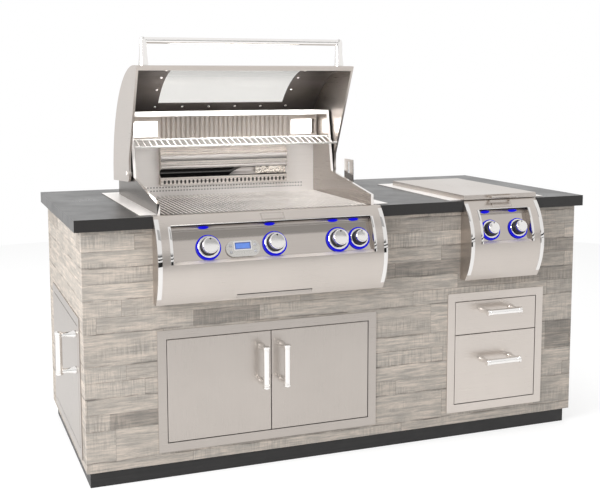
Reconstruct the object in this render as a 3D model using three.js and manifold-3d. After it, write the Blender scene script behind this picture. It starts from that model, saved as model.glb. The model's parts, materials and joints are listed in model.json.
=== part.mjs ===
// Outdoor kitchen island: a clad cabinet on a plinth with a dark stone counter, a built-in gas grill whose hood
// stands open, a two-burner side cooker under a flat lid, a pair of doors, two drawers and a door in the left end.
// Millimetres. X runs right along the front, Y to the back and Z up. The origin is on the floor, at the middle
// of the plinth.
import * as THREE from 'three';
import { mergeVertices } from 'three/addons/utils/BufferGeometryUtils.js';
import Module from 'manifold-3d';

const wasm = await Module();
wasm.setup();

const degree = Math.PI / 180;

// Clearances and cuts
const seatGap = 0.3; // between two pieces where one rests on the other
const runningGap = 0.4; // round a pin that turns in its hole
const cutOverrun = 6; // how far a cutting solid runs past what it cuts

// Island
const counterHeight = 914;
const slabThickness = 40;
const slabSideOverhang = 24;
const slabFrontOverhang = 20;
const slabRearMargin = 150; // behind the grill's flange
const leftMargin = 259; // from the slab's left end to the grill's front panel
const middleMargin = 339; // between the two front panels
const rightMargin = 213; // from the cooker's front panel to the slab's right end
const wallThickness = 24;
const floorThickness = 18;
const plinthHeight = 57;
const plinthSideInset = 14;
const plinthFrontInset = 20;
const plinthBoard = 18;
const plinthRailWidth = 60;
const postWidth = 40;
const postSheet = 4;
const middlePostInset = 180; // from the grill's front panel

// Curved front panels, alike on the grill and the cooker
const grillPanelWidth = 830;
const cookerPanelWidth = 315;
const panelSheet = 2.5;
const panelTopSetback = 8; // behind the slab's front edge
const panelBottomReach = 15; // in front of the slab's front edge
const panelHeight = 297;
const panelBulge = 54; // of the arc over its chord
const panelLip = 17; // top lip, front to back
const recessTopDrop = 32; // below the counter's top
const recessBottomDrop = 157;
const recessEndMargin = 53; // from a panel's end to its recess
const recessTopDepth = 21;
const recessTopRun = 4;
const recessBottomDepth = 11;
const recessBottomRun = 12;
const fasciaSheet = 2.5;
const knobLineShare = 0.385; // height of the knobs' line on the fascia

// Knobs, light rings and valves
const knobRadius = 30;
const knobTopRadius = 28;
const knobLength = 29;
const knobSkirt = 12;
const knobPointerWidth = 7;
const knobPointerHeight = 4;
const ringRadius = 41.5;
const ringGroove = 4;
const ringRise = 8;
const smallKnobShare = 0.9;
const smallTopShare = 0.8;
const knobLift = 6; // of a knob's foot over the fascia
const stemRadius = 4;
const stemReach = 14; // into the knob
const valveRadius = 9;
const valveDepth = 33; // behind the fascia
const grillKnobShares = [-0.65, 0, 0.65, 0.87]; // of half the grill's recess
const cookerKnobShares = [-0.57, 0.57]; // of half the cooker's recess

// Display between the first two knobs
const displayWidth = 120;
const displayHeight = 56;
const displayThickness = 7;
const displayShare = -0.326; // of half the grill's recess
const displayDrop = 13; // of its middle under the knobs' line
const screenWidth = 56;
const screenHeight = 24;
const screenRise = 9; // over the display's middle
const screenDepth = 2;
const buttonRadius = 5;
const buttonProud = 2;
const buttonTravel = 1.5;
const buttonSideShare = 0.36; // of the display's width
const buttonRiseShare = 0.2; // of the display's height

// Grill body; setbacks are from the slab's front edge
const bodyHalfWidth = 396;
const bodyWall = 10;
const bodyFrontSetback = 26;
const bodyRearSetback = 688;
const bodyDrop = 254; // from the counter's top to the body's underside
const bodySheet = 3;
const frontWallSetback = 46;
const frontWallTopDrop = 9;
const cutoutClearance = 5;
const flangeWidth = 59;
const flangeSheet = 2.5;
const flangeRearWidth = 62;
const railFrontRise = 38; // of the side walls' tops over the counter
const railRearSetback = 400;
const railRearRise = 94;
const backBoxFrontSetback = 450;
const backBoxTopShare = 0.875; // of the back box's radius
const innerBackSetback = 590;
const innerStep = 38; // how far the upper back stands forward of the lower
const innerStepRise = 222;
const topPlate = 15;
const ledgeWidth = 15;
const grateDrop = 0; // of the grates' tops below the counter's top
const grateBar = 8;
const grateBars = 16;
const grateSidePlay = 3;
const grateCrosses = 2;
const tamerDrop = 92;
const tamerSheet = 2;
const tamerRise = 22;
const tamerRidges = 5;
const burnerDrop = 205;
const burnerHeight = 26;
const burnerBar = 34;
const burnerSidePlay = 26;

// Back box fittings
const slatHalfWidth = 257;
const slatHeight = 82;
const slatRidges = 27;
const slatDepth = 9;
const slatSheet = 2;
const slatCrestShares = [0.25, 0.75]; // of a ridge, from crest's start to its end
const lampGap = 6;
const lampHeight = 74;
const lampThickness = 12;
const lampRim = 8;
const rearBurnerHalfWidth = 258;
const rearBurnerFoot = 43; // over the counter's top
const rearBurnerHeight = 147;
const rearBurnerDepth = 41;
const rearBurnerSlotLow = 30;
const rearBurnerSlotHigh = 64;
const rearBurnerCoveShare = 0.75; // of its depth, for the slot
const rearBurnerFootShare = 0.17; // of its depth, for the set-back strip below the slot
const rackFrontSetback = 360;
const rackFrontRise = 206;
const rackRearSetback = 435;
const rackRearRise = 227;
const rackBar = 8;
const rackWire = 5;
const rackWires = 34;
const rackReach = 2; // of the front bar short of the walls' outer faces
const bracketReach = 26;
const bracketSheet = 3;
const bracketSetback = 262;
const bracketDepth = 82;
const bracketFootRise = 48;
const bracketHeight = 96;
const bracketSlotWidth = 14;
const bracketSlotHeight = 44;
const bracketSlotShare = 0.67; // of the bracket's height

// Drip tray under the body
const trayWidth = 274;
const trayLength = 420;
const trayHeight = 11;
const traySheet = 1.5;
const trayRise = 6; // over the panel's bottom
const traySlotGap = 4;
const trayRailSheet = 2;
const trayRailFoot = 3;

// Hood, in its closed position, about its hinge
const hingeSetback = 437;
const hingeRise = 105;
const hoodOpenAngle = 72 * degree;
const hoodHalfWidth = 411;
const hoodPlate = 8;
const hoodSheet = 4;
const hoodRadius = 428;
const hoodCentreAhead = 14; // in front of the hinge
const hoodCentreBelow = 150;
const hoodEndAngle = 110 * degree; // from the front, round to the rear edge
const hoodSeat = 3; // over the rails when shut
const hoodRim = 18;
const hoodLobe = 30;
const hoodLip = 17; // depth of the rear edge
const linerGap = 0.6; // to the shell, whose facets come nearer
const linerSheet = 3;
const backBoxClearance = 4.4; // to the hood's lip as the hood turns
const windowHalfWidth = 255;
const windowStart = 20 * degree;
const windowEnd = 65 * degree;
const windowOverlap = 8;
const windowGlass = 4;
const pinRadius = 6;
const pinHead = 10;
const pinHeadLength = 6;
const handleAngle = 19 * degree;
const handleReach = 87;
const handleTube = 11.7;
const handleEndInset = 37; // of a post's middle from the hood's end
const handlePost = 18;
const handlePostNeck = 14;
const handleFootShare = 0.97; // of the post's radius, half its own radius up
const handleTopShare = 0.7; // of the neck's radius, at the post's top
const handleTopShares = [0.9, 1.1]; // of the tube's radius past its middle

// Side cooker
const cookerFlange = 45;
const cookerWall = 2.5;
const cookerHalfInset = 12; // of the pan's side from the panel's end
const cookerFrontSetback = 46;
const cookerRearSetback = 585;
const cookerFlangeRear = 70;
const cookerDepth = 90;
const cookerLedge = 14;
const cookerGrateDrop = 8;
const cookerGrateBar = 8;
const cookerGrateRows = 5;
const cookerGrateColumns = 3;
const headRadius = 50;
const headCapRadius = 38;
const headHeight = 46;
const headCapHeight = 12;
const headNeckShare = 0.7; // of the head's radius
const headNeckRiseShares = [0.6, 0.7]; // of the head's height, below and above its shoulder
const headCapShares = { radius: 0.8, rise: 0.6 }; // of the cap's, at its top and at its edge
const headShares = [0.27, 0.73]; // of the pan's length
const lidThickness = 17;
const lidSheet = 3;
const lidRearSetback = 600;
const lidFrontReach = 4;
const lidSideInset = 1;
const lidBarHalf = 52;
const lidBarRadius = 5;
const lidBarPost = 8;
const lidBarStandoff = 20;
const lidPinRadius = 4;
const lidPinSetback = 9; // behind the lid's rear edge
const lidEyeShare = 1.5; // of the pin's radius, from its middle to the metal's edge
const lidEarWidth = 18;
const lidEarShare = 0.8; // of half the lid's width
const lidLugWidth = 6;

// Doors and drawers; frames stand on the cabinet's face
const doorOpeningWidth = 750;
const doorBaseGap = 41;
const doorTopGap = 94; // below the grill's panel
const frameBorder = 31;
const frameSheet = 3.2;
const frameSleeve = 62;
const sleeveSheet = 2.5;
const wallHoleGap = 2;
const leafGap = 2.5; // round and between doors and drawer fronts
const leafThickness = 20;
const leafProud = 0.8;
const stopWidth = 9;
const stopSheet = 2;
const stopInset = 40; // past the pivots at either side
const drawerOpeningWidth = 356;
const drawerBaseGap = 44;
const drawerTopGap = 55; // below the cooker's panel
const drawerSplitShare = 0.326; // of the opening for the upper drawer
const drawerLength = 430;
const drawerSheet = 2;
const runnerGap = 12;
const runnerHeight = 32;
const boxTopShare = 0.72; // of a drawer front's height
const boxBottomGap = 12;
const housingClearance = 26;
const sideDoorWidth = 602;
const sideDoorOffset = 20; // of the left door's middle in front of the island's middle
const sideDoorBaseGap = 21;
const sideDoorTopGap = 47;
const pivotInset = 12;
const pivotDepth = 4;

// Bar handles of doors and drawers
const barLength = 152;
const barRadius = 11;
const barCapRadius = 13.3;
const barCapLength = 9;
const barStandoff = 57;
const barPostRadius = 9;
const barPostFoot = 13;
const doorBarInset = 38;
const doorBarRise = 64; // over the door's middle
const sideBarInset = 34;
const sideBarRise = 116;
const barHeightShares = { shallow: 0.72, deep: 0.63 }; // of a drawer front's height
const shallowFront = 180; // the tallest front that counts as shallow

// Facets
const arcSteps = 24;
const smallArcSteps = 14;
const turnedSides = 16;
const barSides = 12;
const postSides = 10;
const rodSides = 6;
const wireSides = 4;

// Worked out from the sizes above
const slabWidth = leftMargin + grillPanelWidth + middleMargin + cookerPanelWidth + rightMargin;
const slabDepth = bodyRearSetback + flangeRearWidth + slabRearMargin;
const slabFrontY = -slabDepth / 2;
const slabBottom = counterHeight - slabThickness;
const cabinetHalf = slabWidth / 2 - slabSideOverhang;
const faceY = slabFrontY + slabFrontOverhang;
const cabinetTop = slabBottom - seatGap;
const cabinetBottom = plinthHeight + seatGap;
const grillX = -slabWidth / 2 + leftMargin + grillPanelWidth / 2;
const cookerX = slabWidth / 2 - rightMargin - cookerPanelWidth / 2;
const panelBottom = counterHeight - panelHeight;
const hingeY = slabFrontY + hingeSetback;
const hingeZ = counterHeight + hingeRise;
const bodyBottom = counterHeight - bodyDrop;
const bodyInner = bodyHalfWidth - bodyWall;
const bodyFrontY = slabFrontY + bodyFrontSetback;
const bodyRearY = slabFrontY + bodyRearSetback;
const innerBackY = slabFrontY + innerBackSetback;
const frontWallY = slabFrontY + frontWallSetback;
const hoodInside = hoodRadius - hoodSheet;
const linerRadius = hoodInside - linerGap;
const linerInside = linerRadius - linerSheet;
const hoodLipRadius = hoodRadius - hoodLip;
const handleHalfSpan = hoodHalfWidth - handleEndInset;
const hingeToCentre = Math.hypot(hoodCentreAhead, hoodCentreBelow);
const backBoxRadius = hoodLipRadius - hingeToCentre - backBoxClearance;
const middlePostX = grillX + grillPanelWidth / 2 + middlePostInset;

// Materials
function finish(color, roughness, metalness) {
  return new THREE.MeshStandardMaterial({ color, roughness, metalness });
}

const stone = () => finish(0x4b4845, 0.6, 0);
const cladding = () => finish(0xb3a99c, 0.85, 0);
const blackBoard = () => finish(0x171616, 0.7, 0);
const paleBoard = () => finish(0xa59c8f, 0.8, 0);
const galvanised = () => finish(0x9a9c9d, 0.5, 0.8);
const brushedSteel = () => finish(0xc9c2ba, 0.38, 1);
const polishedSteel = () => finish(0xe2dedb, 0.12, 1);
const darkSteel = () => finish(0x4a4039, 0.45, 0.9);
const castSteel = () => finish(0x8c8782, 0.55, 0.9);
const glassPane = () => finish(0xe8e6e2, 0.05, 0);
const knobChrome = () => finish(0xd8d6d4, 0.2, 1);
const buttonSteel = () => finish(0xb9bcc2, 0.35, 0.6);
const castIron = () => finish(0x242322, 0.7, 0.5);

// Shapes and solids
function outline(points) {
  return new THREE.Shape(points.map(([a, b]) => new THREE.Vector2(a, b)));
}

function rectangle(left, bottom, right, top) {
  return outline([[left, bottom], [right, bottom], [right, top], [left, top]]);
}

function withHoles(shape, holes) {
  shape.holes.push(...holes);
  return shape;
}

function circle(x, y, radius, sides) {
  return outline(arcPoints(x, y, radius, 0, 2 * Math.PI, sides).slice(1));
}

function arcPoints(centreA, centreB, radius, from, to, steps) {
  const points = [];
  for (let i = 0; i <= steps; i += 1) {
    const angle = from + (to - from) * i / steps;
    points.push([centreA + radius * Math.cos(angle), centreB + radius * Math.sin(angle)]);
  }
  return points;
}

function plainPrism(path, low, height) {
  const shape = new THREE.Shape(path.getPoints(smallArcSteps));
  return new THREE.ExtrudeGeometry(shape, { depth: height, bevelEnabled: false }).translate(0, 0, low);
}

// A prism of an outline, with its holes cut through
function prism(shape, height) {
  const body = plainPrism(shape, 0, height);
  const tools = shape.holes.map((hole) => plainPrism(hole, -cutOverrun, height + 2 * cutOverrun));
  return tools.length ? bufferOf(cut(body, tools)) : body;
}

// A prism of an outline drawn in X and Y, standing on the given height
function upright(shape, low, height) {
  return prism(shape, height).translate(0, 0, low);
}

// A prism of an outline drawn in X and Z, running back from the given depth
function through(shape, front, depth) {
  return prism(shape, depth).rotateX(Math.PI / 2).translate(0, front + depth, 0);
}

// A prism of an outline drawn in Y and Z, running right from the given place
function across(shape, left, width) {
  const turn = new THREE.Matrix4().makeBasis(
    new THREE.Vector3(0, 1, 0),
    new THREE.Vector3(0, 0, 1),
    new THREE.Vector3(1, 0, 0)
  );
  return prism(shape, width).applyMatrix4(turn).translate(left, 0, 0);
}

function block(left, right, front, back, low, high) {
  return new THREE.BoxGeometry(right - left, back - front, high - low)
    .translate((left + right) / 2, (front + back) / 2, (low + high) / 2);
}

// A turned piece about Z; its profile is a list of radius and height
function turned(profile, sides) {
  const points = profile.map(([radius, height]) => new THREE.Vector2(radius, height));
  return new THREE.LatheGeometry(points, sides).rotateX(Math.PI / 2);
}

function rod(radius, from, to, sides) {
  const start = new THREE.Vector3(...from);
  const run = new THREE.Vector3(...to).sub(start);
  const length = run.length();
  const turn = new THREE.Quaternion().setFromUnitVectors(new THREE.Vector3(0, 1, 0), run.normalize());
  return new THREE.CylinderGeometry(radius, radius, length, sides)
    .translate(0, length / 2, 0)
    .applyQuaternion(turn)
    .translate(start.x, start.y, start.z);
}

function solid(piece) {
  if (!piece.isBufferGeometry) {
    return piece;
  }
  const bare = new THREE.BufferGeometry();
  bare.setAttribute('position', piece.getAttribute('position').clone());
  if (piece.index) {
    bare.setIndex(piece.index.clone());
  }
  const merged = mergeVertices(bare);
  return new wasm.Manifold(new wasm.Mesh({
    numProp: 3,
    vertProperties: new Float32Array(merged.getAttribute('position').array),
    triVerts: new Uint32Array(merged.index.array)
  }));
}

function join(pieces) {
  return pieces.map(solid).reduce((whole, piece) => whole.add(piece));
}

function cut(body, tools) {
  return tools.map(solid).reduce((whole, tool) => whole.subtract(tool), solid(body));
}

function common(first, second) {
  return solid(first).intersect(solid(second));
}

function bufferOf(body) {
  const shell = body.getMesh();
  const geometry = new THREE.BufferGeometry();
  geometry.setAttribute('position', new THREE.BufferAttribute(new Float32Array(shell.vertProperties), 3));
  geometry.setIndex(new THREE.BufferAttribute(new Uint32Array(shell.triVerts), 1));
  return geometry;
}

function node(name, piece, material) {
  const geometry = bufferOf(solid(piece));
  geometry.computeVertexNormals();
  const mesh = new THREE.Mesh(geometry, material);
  mesh.name = name;
  return mesh;
}

function group(meshes, place = [0, 0, 0], turn = [0, 0, 0]) {
  const whole = new THREE.Group();
  whole.add(...meshes);
  whole.position.set(...place);
  whole.rotation.set(...turn);
  return whole;
}

// Cabinet
function makePlinth() {
  const half = cabinetHalf - plinthSideInset;
  const depth = slabDepth / 2 - slabFrontOverhang - plinthFrontInset;
  const inner = depth - plinthBoard;
  const rail = plinthRailWidth / 2;
  const ring = withHoles(rectangle(-half, -depth, half, depth), [
    rectangle(-half + plinthBoard, -inner, -rail, inner),
    rectangle(rail, -inner, half - plinthBoard, inner)
  ]);
  return node('plinth', upright(ring, 0, plinthHeight), blackBoard());
}

function makeFloor() {
  const half = cabinetHalf - wallThickness - seatGap;
  const depth = -faceY - wallThickness - seatGap;
  const board = rectangle(-half, -depth, half, depth);
  return node('cabinet_floor', upright(board, cabinetBottom, floorThickness), paleBoard());
}

function sleeveHole(opening) {
  const margin = sleeveSheet + wallHoleGap;
  return rectangle(opening.left - margin, opening.low - margin, opening.right + margin, opening.high + margin);
}

function makeFrontWall() {
  const notchLow = panelBottom + panelSheet;
  const grillNotch = bodyHalfWidth + cutoutClearance;
  const cookerNotch = cookerPanelWidth / 2 - cookerHalfInset + cutoutClearance;
  const shape = withHoles(outline([
    [-cabinetHalf, cabinetBottom],
    [cabinetHalf, cabinetBottom],
    [cabinetHalf, cabinetTop],
    [cookerX + cookerNotch, cabinetTop],
    [cookerX + cookerNotch, notchLow],
    [cookerX - cookerNotch, notchLow],
    [cookerX - cookerNotch, cabinetTop],
    [grillX + grillNotch, cabinetTop],
    [grillX + grillNotch, notchLow],
    [grillX - grillNotch, notchLow],
    [grillX - grillNotch, cabinetTop],
    [-cabinetHalf, cabinetTop]
  ]), [sleeveHole(shifted(doorOpening, grillX)), sleeveHole(shifted(drawerOpening, cookerX))]);
  return node('cabinet_front', through(shape, faceY, wallThickness), cladding());
}

function makeBackWall() {
  const shape = rectangle(-cabinetHalf, cabinetBottom, cabinetHalf, cabinetTop);
  return node('cabinet_back', through(shape, -faceY - wallThickness, wallThickness), cladding());
}

function makeSideWall(name, left, holes) {
  const depth = -faceY - wallThickness - seatGap;
  const shape = withHoles(rectangle(-depth, cabinetBottom, depth, cabinetTop), holes);
  return node(name, across(shape, left, wallThickness), cladding());
}

// An angle post whose corner is at a point, its legs running inward
function anglePost(x, y, inwardX, inwardY, low, high) {
  const legX = x + inwardX * postWidth;
  const legY = y + inwardY * postWidth;
  const sheetX = x + inwardX * postSheet;
  const sheetY = y + inwardY * postSheet;
  const section = [[x, y], [legX, y], [legX, sheetY], [sheetX, sheetY], [sheetX, legY], [x, legY]];
  return upright(outline(section), low, high - low);
}

// Posts in the corners and between the bays, joined along the top by rails let into their sheet
function makeInnerFrame() {
  const low = cabinetBottom + floorThickness + seatGap;
  const half = cabinetHalf - wallThickness - seatGap;
  const depth = -faceY - wallThickness - seatGap;
  const into = postSheet / 4;
  const railLow = cabinetTop - postWidth;
  const railTop = cabinetTop - into;
  const railEnd = depth - postSheet / 2;
  const pieces = [];
  for (const end of [-1, 1]) {
    pieces.push(anglePost(-half, end * depth, 1, -end, low, cabinetTop));
    pieces.push(anglePost(half, end * depth, -1, -end, low, cabinetTop));
    pieces.push(anglePost(middlePostX, end * depth, 1, -end, low, cabinetTop));
  }
  for (const left of [-half + into, half - 3 * into, middlePostX + into]) {
    pieces.push(block(left, left + 2 * into, -railEnd, railEnd, railLow, railTop));
  }
  pieces.push(block(-half + 2 * into, half - 2 * into, depth - 3 * into, depth - into, railLow - into, railTop - into));
  return node('inner_frame', join(pieces), galvanised());
}

function makeCountertop() {
  const half = slabWidth / 2;
  const grillPanelNotch = grillPanelWidth / 2 + seatGap;
  const cookerPanelNotch = cookerPanelWidth / 2 + seatGap;
  const panelBack = slabFrontY + panelTopSetback + panelLip + seatGap;
  const grillCut = bodyHalfWidth + cutoutClearance;
  const cookerCut = cookerPanelWidth / 2 - cookerHalfInset + cutoutClearance;
  const grillBack = bodyRearY + cutoutClearance;
  const cookerBack = slabFrontY + cookerRearSetback + cutoutClearance;
  const shape = outline([
    [-half, slabFrontY],
    [grillX - grillPanelNotch, slabFrontY],
    [grillX - grillPanelNotch, panelBack],
    [grillX - grillCut, panelBack],
    [grillX - grillCut, grillBack],
    [grillX + grillCut, grillBack],
    [grillX + grillCut, panelBack],
    [grillX + grillPanelNotch, panelBack],
    [grillX + grillPanelNotch, slabFrontY],
    [cookerX - cookerPanelNotch, slabFrontY],
    [cookerX - cookerPanelNotch, panelBack],
    [cookerX - cookerCut, panelBack],
    [cookerX - cookerCut, cookerBack],
    [cookerX + cookerCut, cookerBack],
    [cookerX + cookerCut, panelBack],
    [cookerX + cookerPanelNotch, panelBack],
    [cookerX + cookerPanelNotch, slabFrontY],
    [half, slabFrontY],
    [half, -slabFrontY],
    [-half, -slabFrontY]
  ]);
  return node('countertop', upright(shape, slabBottom, slabThickness), stone());
}

// Openings of doors and drawers, measured from their own middles
function opening(width, low, high) {
  return { left: -width / 2, right: width / 2, low, high };
}

function shifted(hole, distance) {
  return { left: hole.left + distance, right: hole.right + distance, low: hole.low, high: hole.high };
}

const doorOpening = opening(
  doorOpeningWidth,
  plinthHeight + doorBaseGap + frameBorder,
  panelBottom - doorTopGap - frameBorder
);
const drawerOpening = opening(
  drawerOpeningWidth,
  plinthHeight + drawerBaseGap + frameBorder,
  panelBottom - drawerTopGap - frameBorder
);
const sideOpening = opening(
  sideDoorWidth,
  plinthHeight + sideDoorBaseGap + frameBorder,
  panelBottom - sideDoorTopGap - frameBorder
);
const leafFront = -(seatGap + frameSheet + leafProud);
const leafBack = leafFront + leafThickness;

// A frame on a face at Y zero: a flat border, a sleeve through the wall and, behind a door, stops above and below
function frameSolid(hole, sleeve, stop) {
  const plateFront = -(seatGap + frameSheet);
  const shift = (margin) => rectangle(hole.left - margin, hole.low - margin, hole.right + margin, hole.high + margin);
  const plate = through(withHoles(shift(frameBorder), [shift(0)]), plateFront, frameSheet);
  const tube = through(withHoles(shift(sleeveSheet), [shift(0)]), plateFront, sleeve - plateFront);
  const pieces = [plate, tube];
  if (stop) {
    const near = leafBack + seatGap;
    const left = hole.left + stopInset;
    const right = hole.right - stopInset;
    const rise = sleeveSheet / 2;
    pieces.push(block(left, right, near, near + stopSheet, hole.low - rise, hole.low + stopWidth));
    pieces.push(block(left, right, near, near + stopSheet, hole.high - stopWidth, hole.high + rise));
  }
  return join(pieces);
}

// A folded panel: a face with its edges rounded over
function leafSolid(left, right, low, high) {
  const round = sleeveSheet / 2;
  const body = rectangle(left + round, low + round, right - round, high - round);
  const leaf = new THREE.ExtrudeGeometry(body, {
    depth: leafThickness - 2 * round,
    bevelEnabled: true,
    bevelThickness: round,
    bevelSize: round,
    bevelSegments: 1
  });
  return leaf.rotateX(Math.PI / 2).translate(0, leafFront + leafThickness - round, 0);
}

// A bar handle along Z, its feet on the plane at Y zero and its bar in front of it
function barSolid() {
  const half = barLength / 2;
  const capInner = half - barCapLength;
  const edge = barCapRadius - barRadius;
  const bar = turned([
    [0, -half], [barRadius, -half], [barCapRadius, -half + edge], [barCapRadius, -capInner], [barRadius, -capInner],
    [barRadius, capInner], [barCapRadius, capInner], [barCapRadius, half - edge], [barRadius, half], [0, half]
  ], barSides).translate(0, -barStandoff, 0);
  const pieces = [bar];
  for (const end of [-1, 1]) {
    const post = turned([
      [0, seatGap], [barPostFoot, seatGap], [barPostFoot, barPostFoot / 2], [barPostRadius, barStandoff / 2],
      [barPostRadius, barStandoff], [0, barStandoff]
    ], postSides).rotateX(Math.PI / 2);
    pieces.push(post.translate(0, 0, end * (half - barPostFoot)));
  }
  return join(pieces);
}

function uprightBar(x, z) {
  return bufferOf(barSolid()).translate(x, leafFront, z);
}

function levelBar(x, z) {
  return bufferOf(barSolid()).rotateY(Math.PI / 2).translate(x, leafFront, z);
}

function makeDoors() {
  const hole = doorOpening;
  const low = hole.low + leafGap;
  const high = hole.high - leafGap;
  const barZ = (hole.low + hole.high) / 2 + doorBarRise;
  const meshes = [node('door_frame', frameSolid(hole, frameSleeve, true), brushedSteel())];
  const leftLeaf = leafSolid(hole.left + leafGap, -leafGap / 2, low, high);
  const rightLeaf = leafSolid(leafGap / 2, hole.right - leafGap, low, high);
  meshes.push(node('door_left', leftLeaf, brushedSteel()));
  meshes.push(node('door_left_handle', uprightBar(-doorBarInset, barZ), polishedSteel()));
  meshes.push(node('door_right', rightLeaf, brushedSteel()));
  meshes.push(node('door_right_handle', uprightBar(doorBarInset, barZ), polishedSteel()));
  return group(meshes, [grillX, faceY, 0]);
}

function makeSideDoor() {
  const hole = sideOpening;
  const leaf = leafSolid(hole.left + leafGap, hole.right - leafGap, hole.low + leafGap, hole.high - leafGap);
  const barX = hole.right - leafGap - sideBarInset;
  const barZ = (hole.low + hole.high) / 2 + sideBarRise;
  return group([
    node('side_door_frame', frameSolid(hole, frameSleeve, true), brushedSteel()),
    node('side_door', leaf, brushedSteel()),
    node('side_door_handle', uprightBar(barX, barZ), polishedSteel())
  ], [-cabinetHalf, -sideDoorOffset, 0], [0, 0, -Math.PI / 2]);
}

// A drawer box with an open top, hung between its runners
function drawerSolid(hole, low, high) {
  const left = hole.left + runnerGap;
  const right = hole.right - runnerGap;
  const boxLow = low + boxBottomGap;
  const boxHigh = low + (high - low) * boxTopShare;
  const front = leafBack - cutOverrun;
  const back = leafBack + drawerLength;
  const outside = block(left, right, front, back, boxLow, boxHigh);
  const inside = block(
    left + drawerSheet,
    right - drawerSheet,
    leafBack,
    back - drawerSheet,
    boxLow + drawerSheet,
    boxHigh + cutOverrun
  );
  const leaf = leafSolid(hole.left + leafGap, hole.right - leafGap, low, high);
  return join([cut(outside, [inside]), leaf]);
}

function makeDrawers() {
  const hole = drawerOpening;
  const split = hole.high - (hole.high - hole.low) * drawerSplitShare;
  const housing = drawerLength + leafBack + housingClearance;
  const spans = [
    ['drawer_upper', split + leafGap / 2, hole.high - leafGap],
    ['drawer_lower', hole.low + leafGap, split - leafGap / 2]
  ];
  const framePieces = [frameSolid(hole, housing, false)];
  const meshes = [];
  for (const [name, low, high] of spans) {
    const boxMiddle = low + (boxBottomGap + (high - low) * boxTopShare) / 2;
    for (const side of [-1, 1]) {
      const wall = side * (hole.right + cutOverrun * seatGap);
      const reach = side * (hole.right - runnerGap + runningGap);
      const runnerLow = boxMiddle - runnerHeight / 2;
      framePieces.push(block(
        Math.min(wall, reach),
        Math.max(wall, reach),
        leafBack + runnerGap,
        leafBack + drawerLength,
        runnerLow,
        runnerLow + runnerHeight
      ));
    }
    meshes.push(node(name, drawerSolid(hole, low, high), brushedSteel()));
    meshes.push(node(`${name}_handle`, levelBar(0, barHeight(low, high)), polishedSteel()));
  }
  meshes.unshift(node('drawer_frame', join(framePieces), brushedSteel()));
  return group(meshes, [cookerX, faceY, 0]);
}


function barHeight(low, high) {
  const share = high - low < shallowFront ? barHeightShares.shallow : barHeightShares.deep;
  return low + (high - low) * share;
}

// Curved front panels; Y and Z here are the island's own
function chordArc(top, bottom, bulge) {
  const chordY = bottom[0] - top[0];
  const chordZ = bottom[1] - top[1];
  const half = Math.hypot(chordY, chordZ) / 2;
  const radius = (half * half + bulge * bulge) / (2 * bulge);
  const back = (radius - bulge) / (2 * half);
  const y = (top[0] + bottom[0]) / 2 - chordZ * back;
  const z = (top[1] + bottom[1]) / 2 + chordY * back;
  return { y, z, radius };
}

const panelTopPoint = [slabFrontY + panelTopSetback, counterHeight];
const panelBottomPoint = [slabFrontY - panelBottomReach, panelBottom];
const panelArc = chordArc(panelTopPoint, panelBottomPoint, panelBulge);

function arcDepth(z, inset) {
  const rise = z - panelArc.z;
  const radius = panelArc.radius - inset;
  return panelArc.y - Math.sqrt(radius * radius - rise * rise);
}

function panelOutline(inset) {
  const topAngle = Math.atan2(panelTopPoint[1] - panelArc.z, panelTopPoint[0] - panelArc.y);
  const bottomAngle = Math.atan2(panelBottomPoint[1] - panelArc.z, panelBottomPoint[0] - panelArc.y) + 2 * Math.PI;
  const radius = panelArc.radius - inset;
  return arcPoints(panelArc.y, panelArc.z, radius, topAngle, bottomAngle, arcSteps);
}

// The recess: its ceiling, the fascia's plane and its sill, from the arc at the given heights
const recessTop = [arcDepth(counterHeight - recessTopDrop, 0), counterHeight - recessTopDrop];
const recessBottom = [arcDepth(counterHeight - recessBottomDrop, 0), counterHeight - recessBottomDrop];
const recessLength = Math.hypot(recessBottom[0] - recessTop[0], recessBottom[1] - recessTop[1]);
const recessDown = [(recessBottom[0] - recessTop[0]) / recessLength, (recessBottom[1] - recessTop[1]) / recessLength];
const recessInward = [-recessDown[1], recessDown[0]];

function fromRecess(corner, down, inward) {
  return [
    corner[0] + recessDown[0] * down + recessInward[0] * inward,
    corner[1] + recessDown[1] * down + recessInward[1] * inward
  ];
}

const fasciaTop = fromRecess(recessTop, recessTopRun, recessTopDepth);
const fasciaFoot = fromRecess(recessBottom, -recessBottomRun, recessBottomDepth);
const fasciaLength = Math.hypot(fasciaTop[0] - fasciaFoot[0], fasciaTop[1] - fasciaFoot[1]);
const fasciaTilt = Math.atan2(fasciaTop[0] - fasciaFoot[0], fasciaTop[1] - fasciaFoot[1]);

// The recess cut out of a panel, as an outline in Y and Z; grown by a sheet for the tub round it
function recessOutline(grow) {
  const out = cutOverrun + panelBulge;
  return outline([
    fromRecess(recessTop, -grow, -out),
    fromRecess(recessBottom, grow, -out),
    fromRecess(recessBottom, grow, grow / 2),
    fromRecess(recessBottom, grow - recessBottomRun, recessBottomDepth + grow),
    fromRecess(recessTop, recessTopRun - grow, recessTopDepth + grow),
    fromRecess(recessTop, -grow, grow / 2)
  ].reverse());
}

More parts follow.
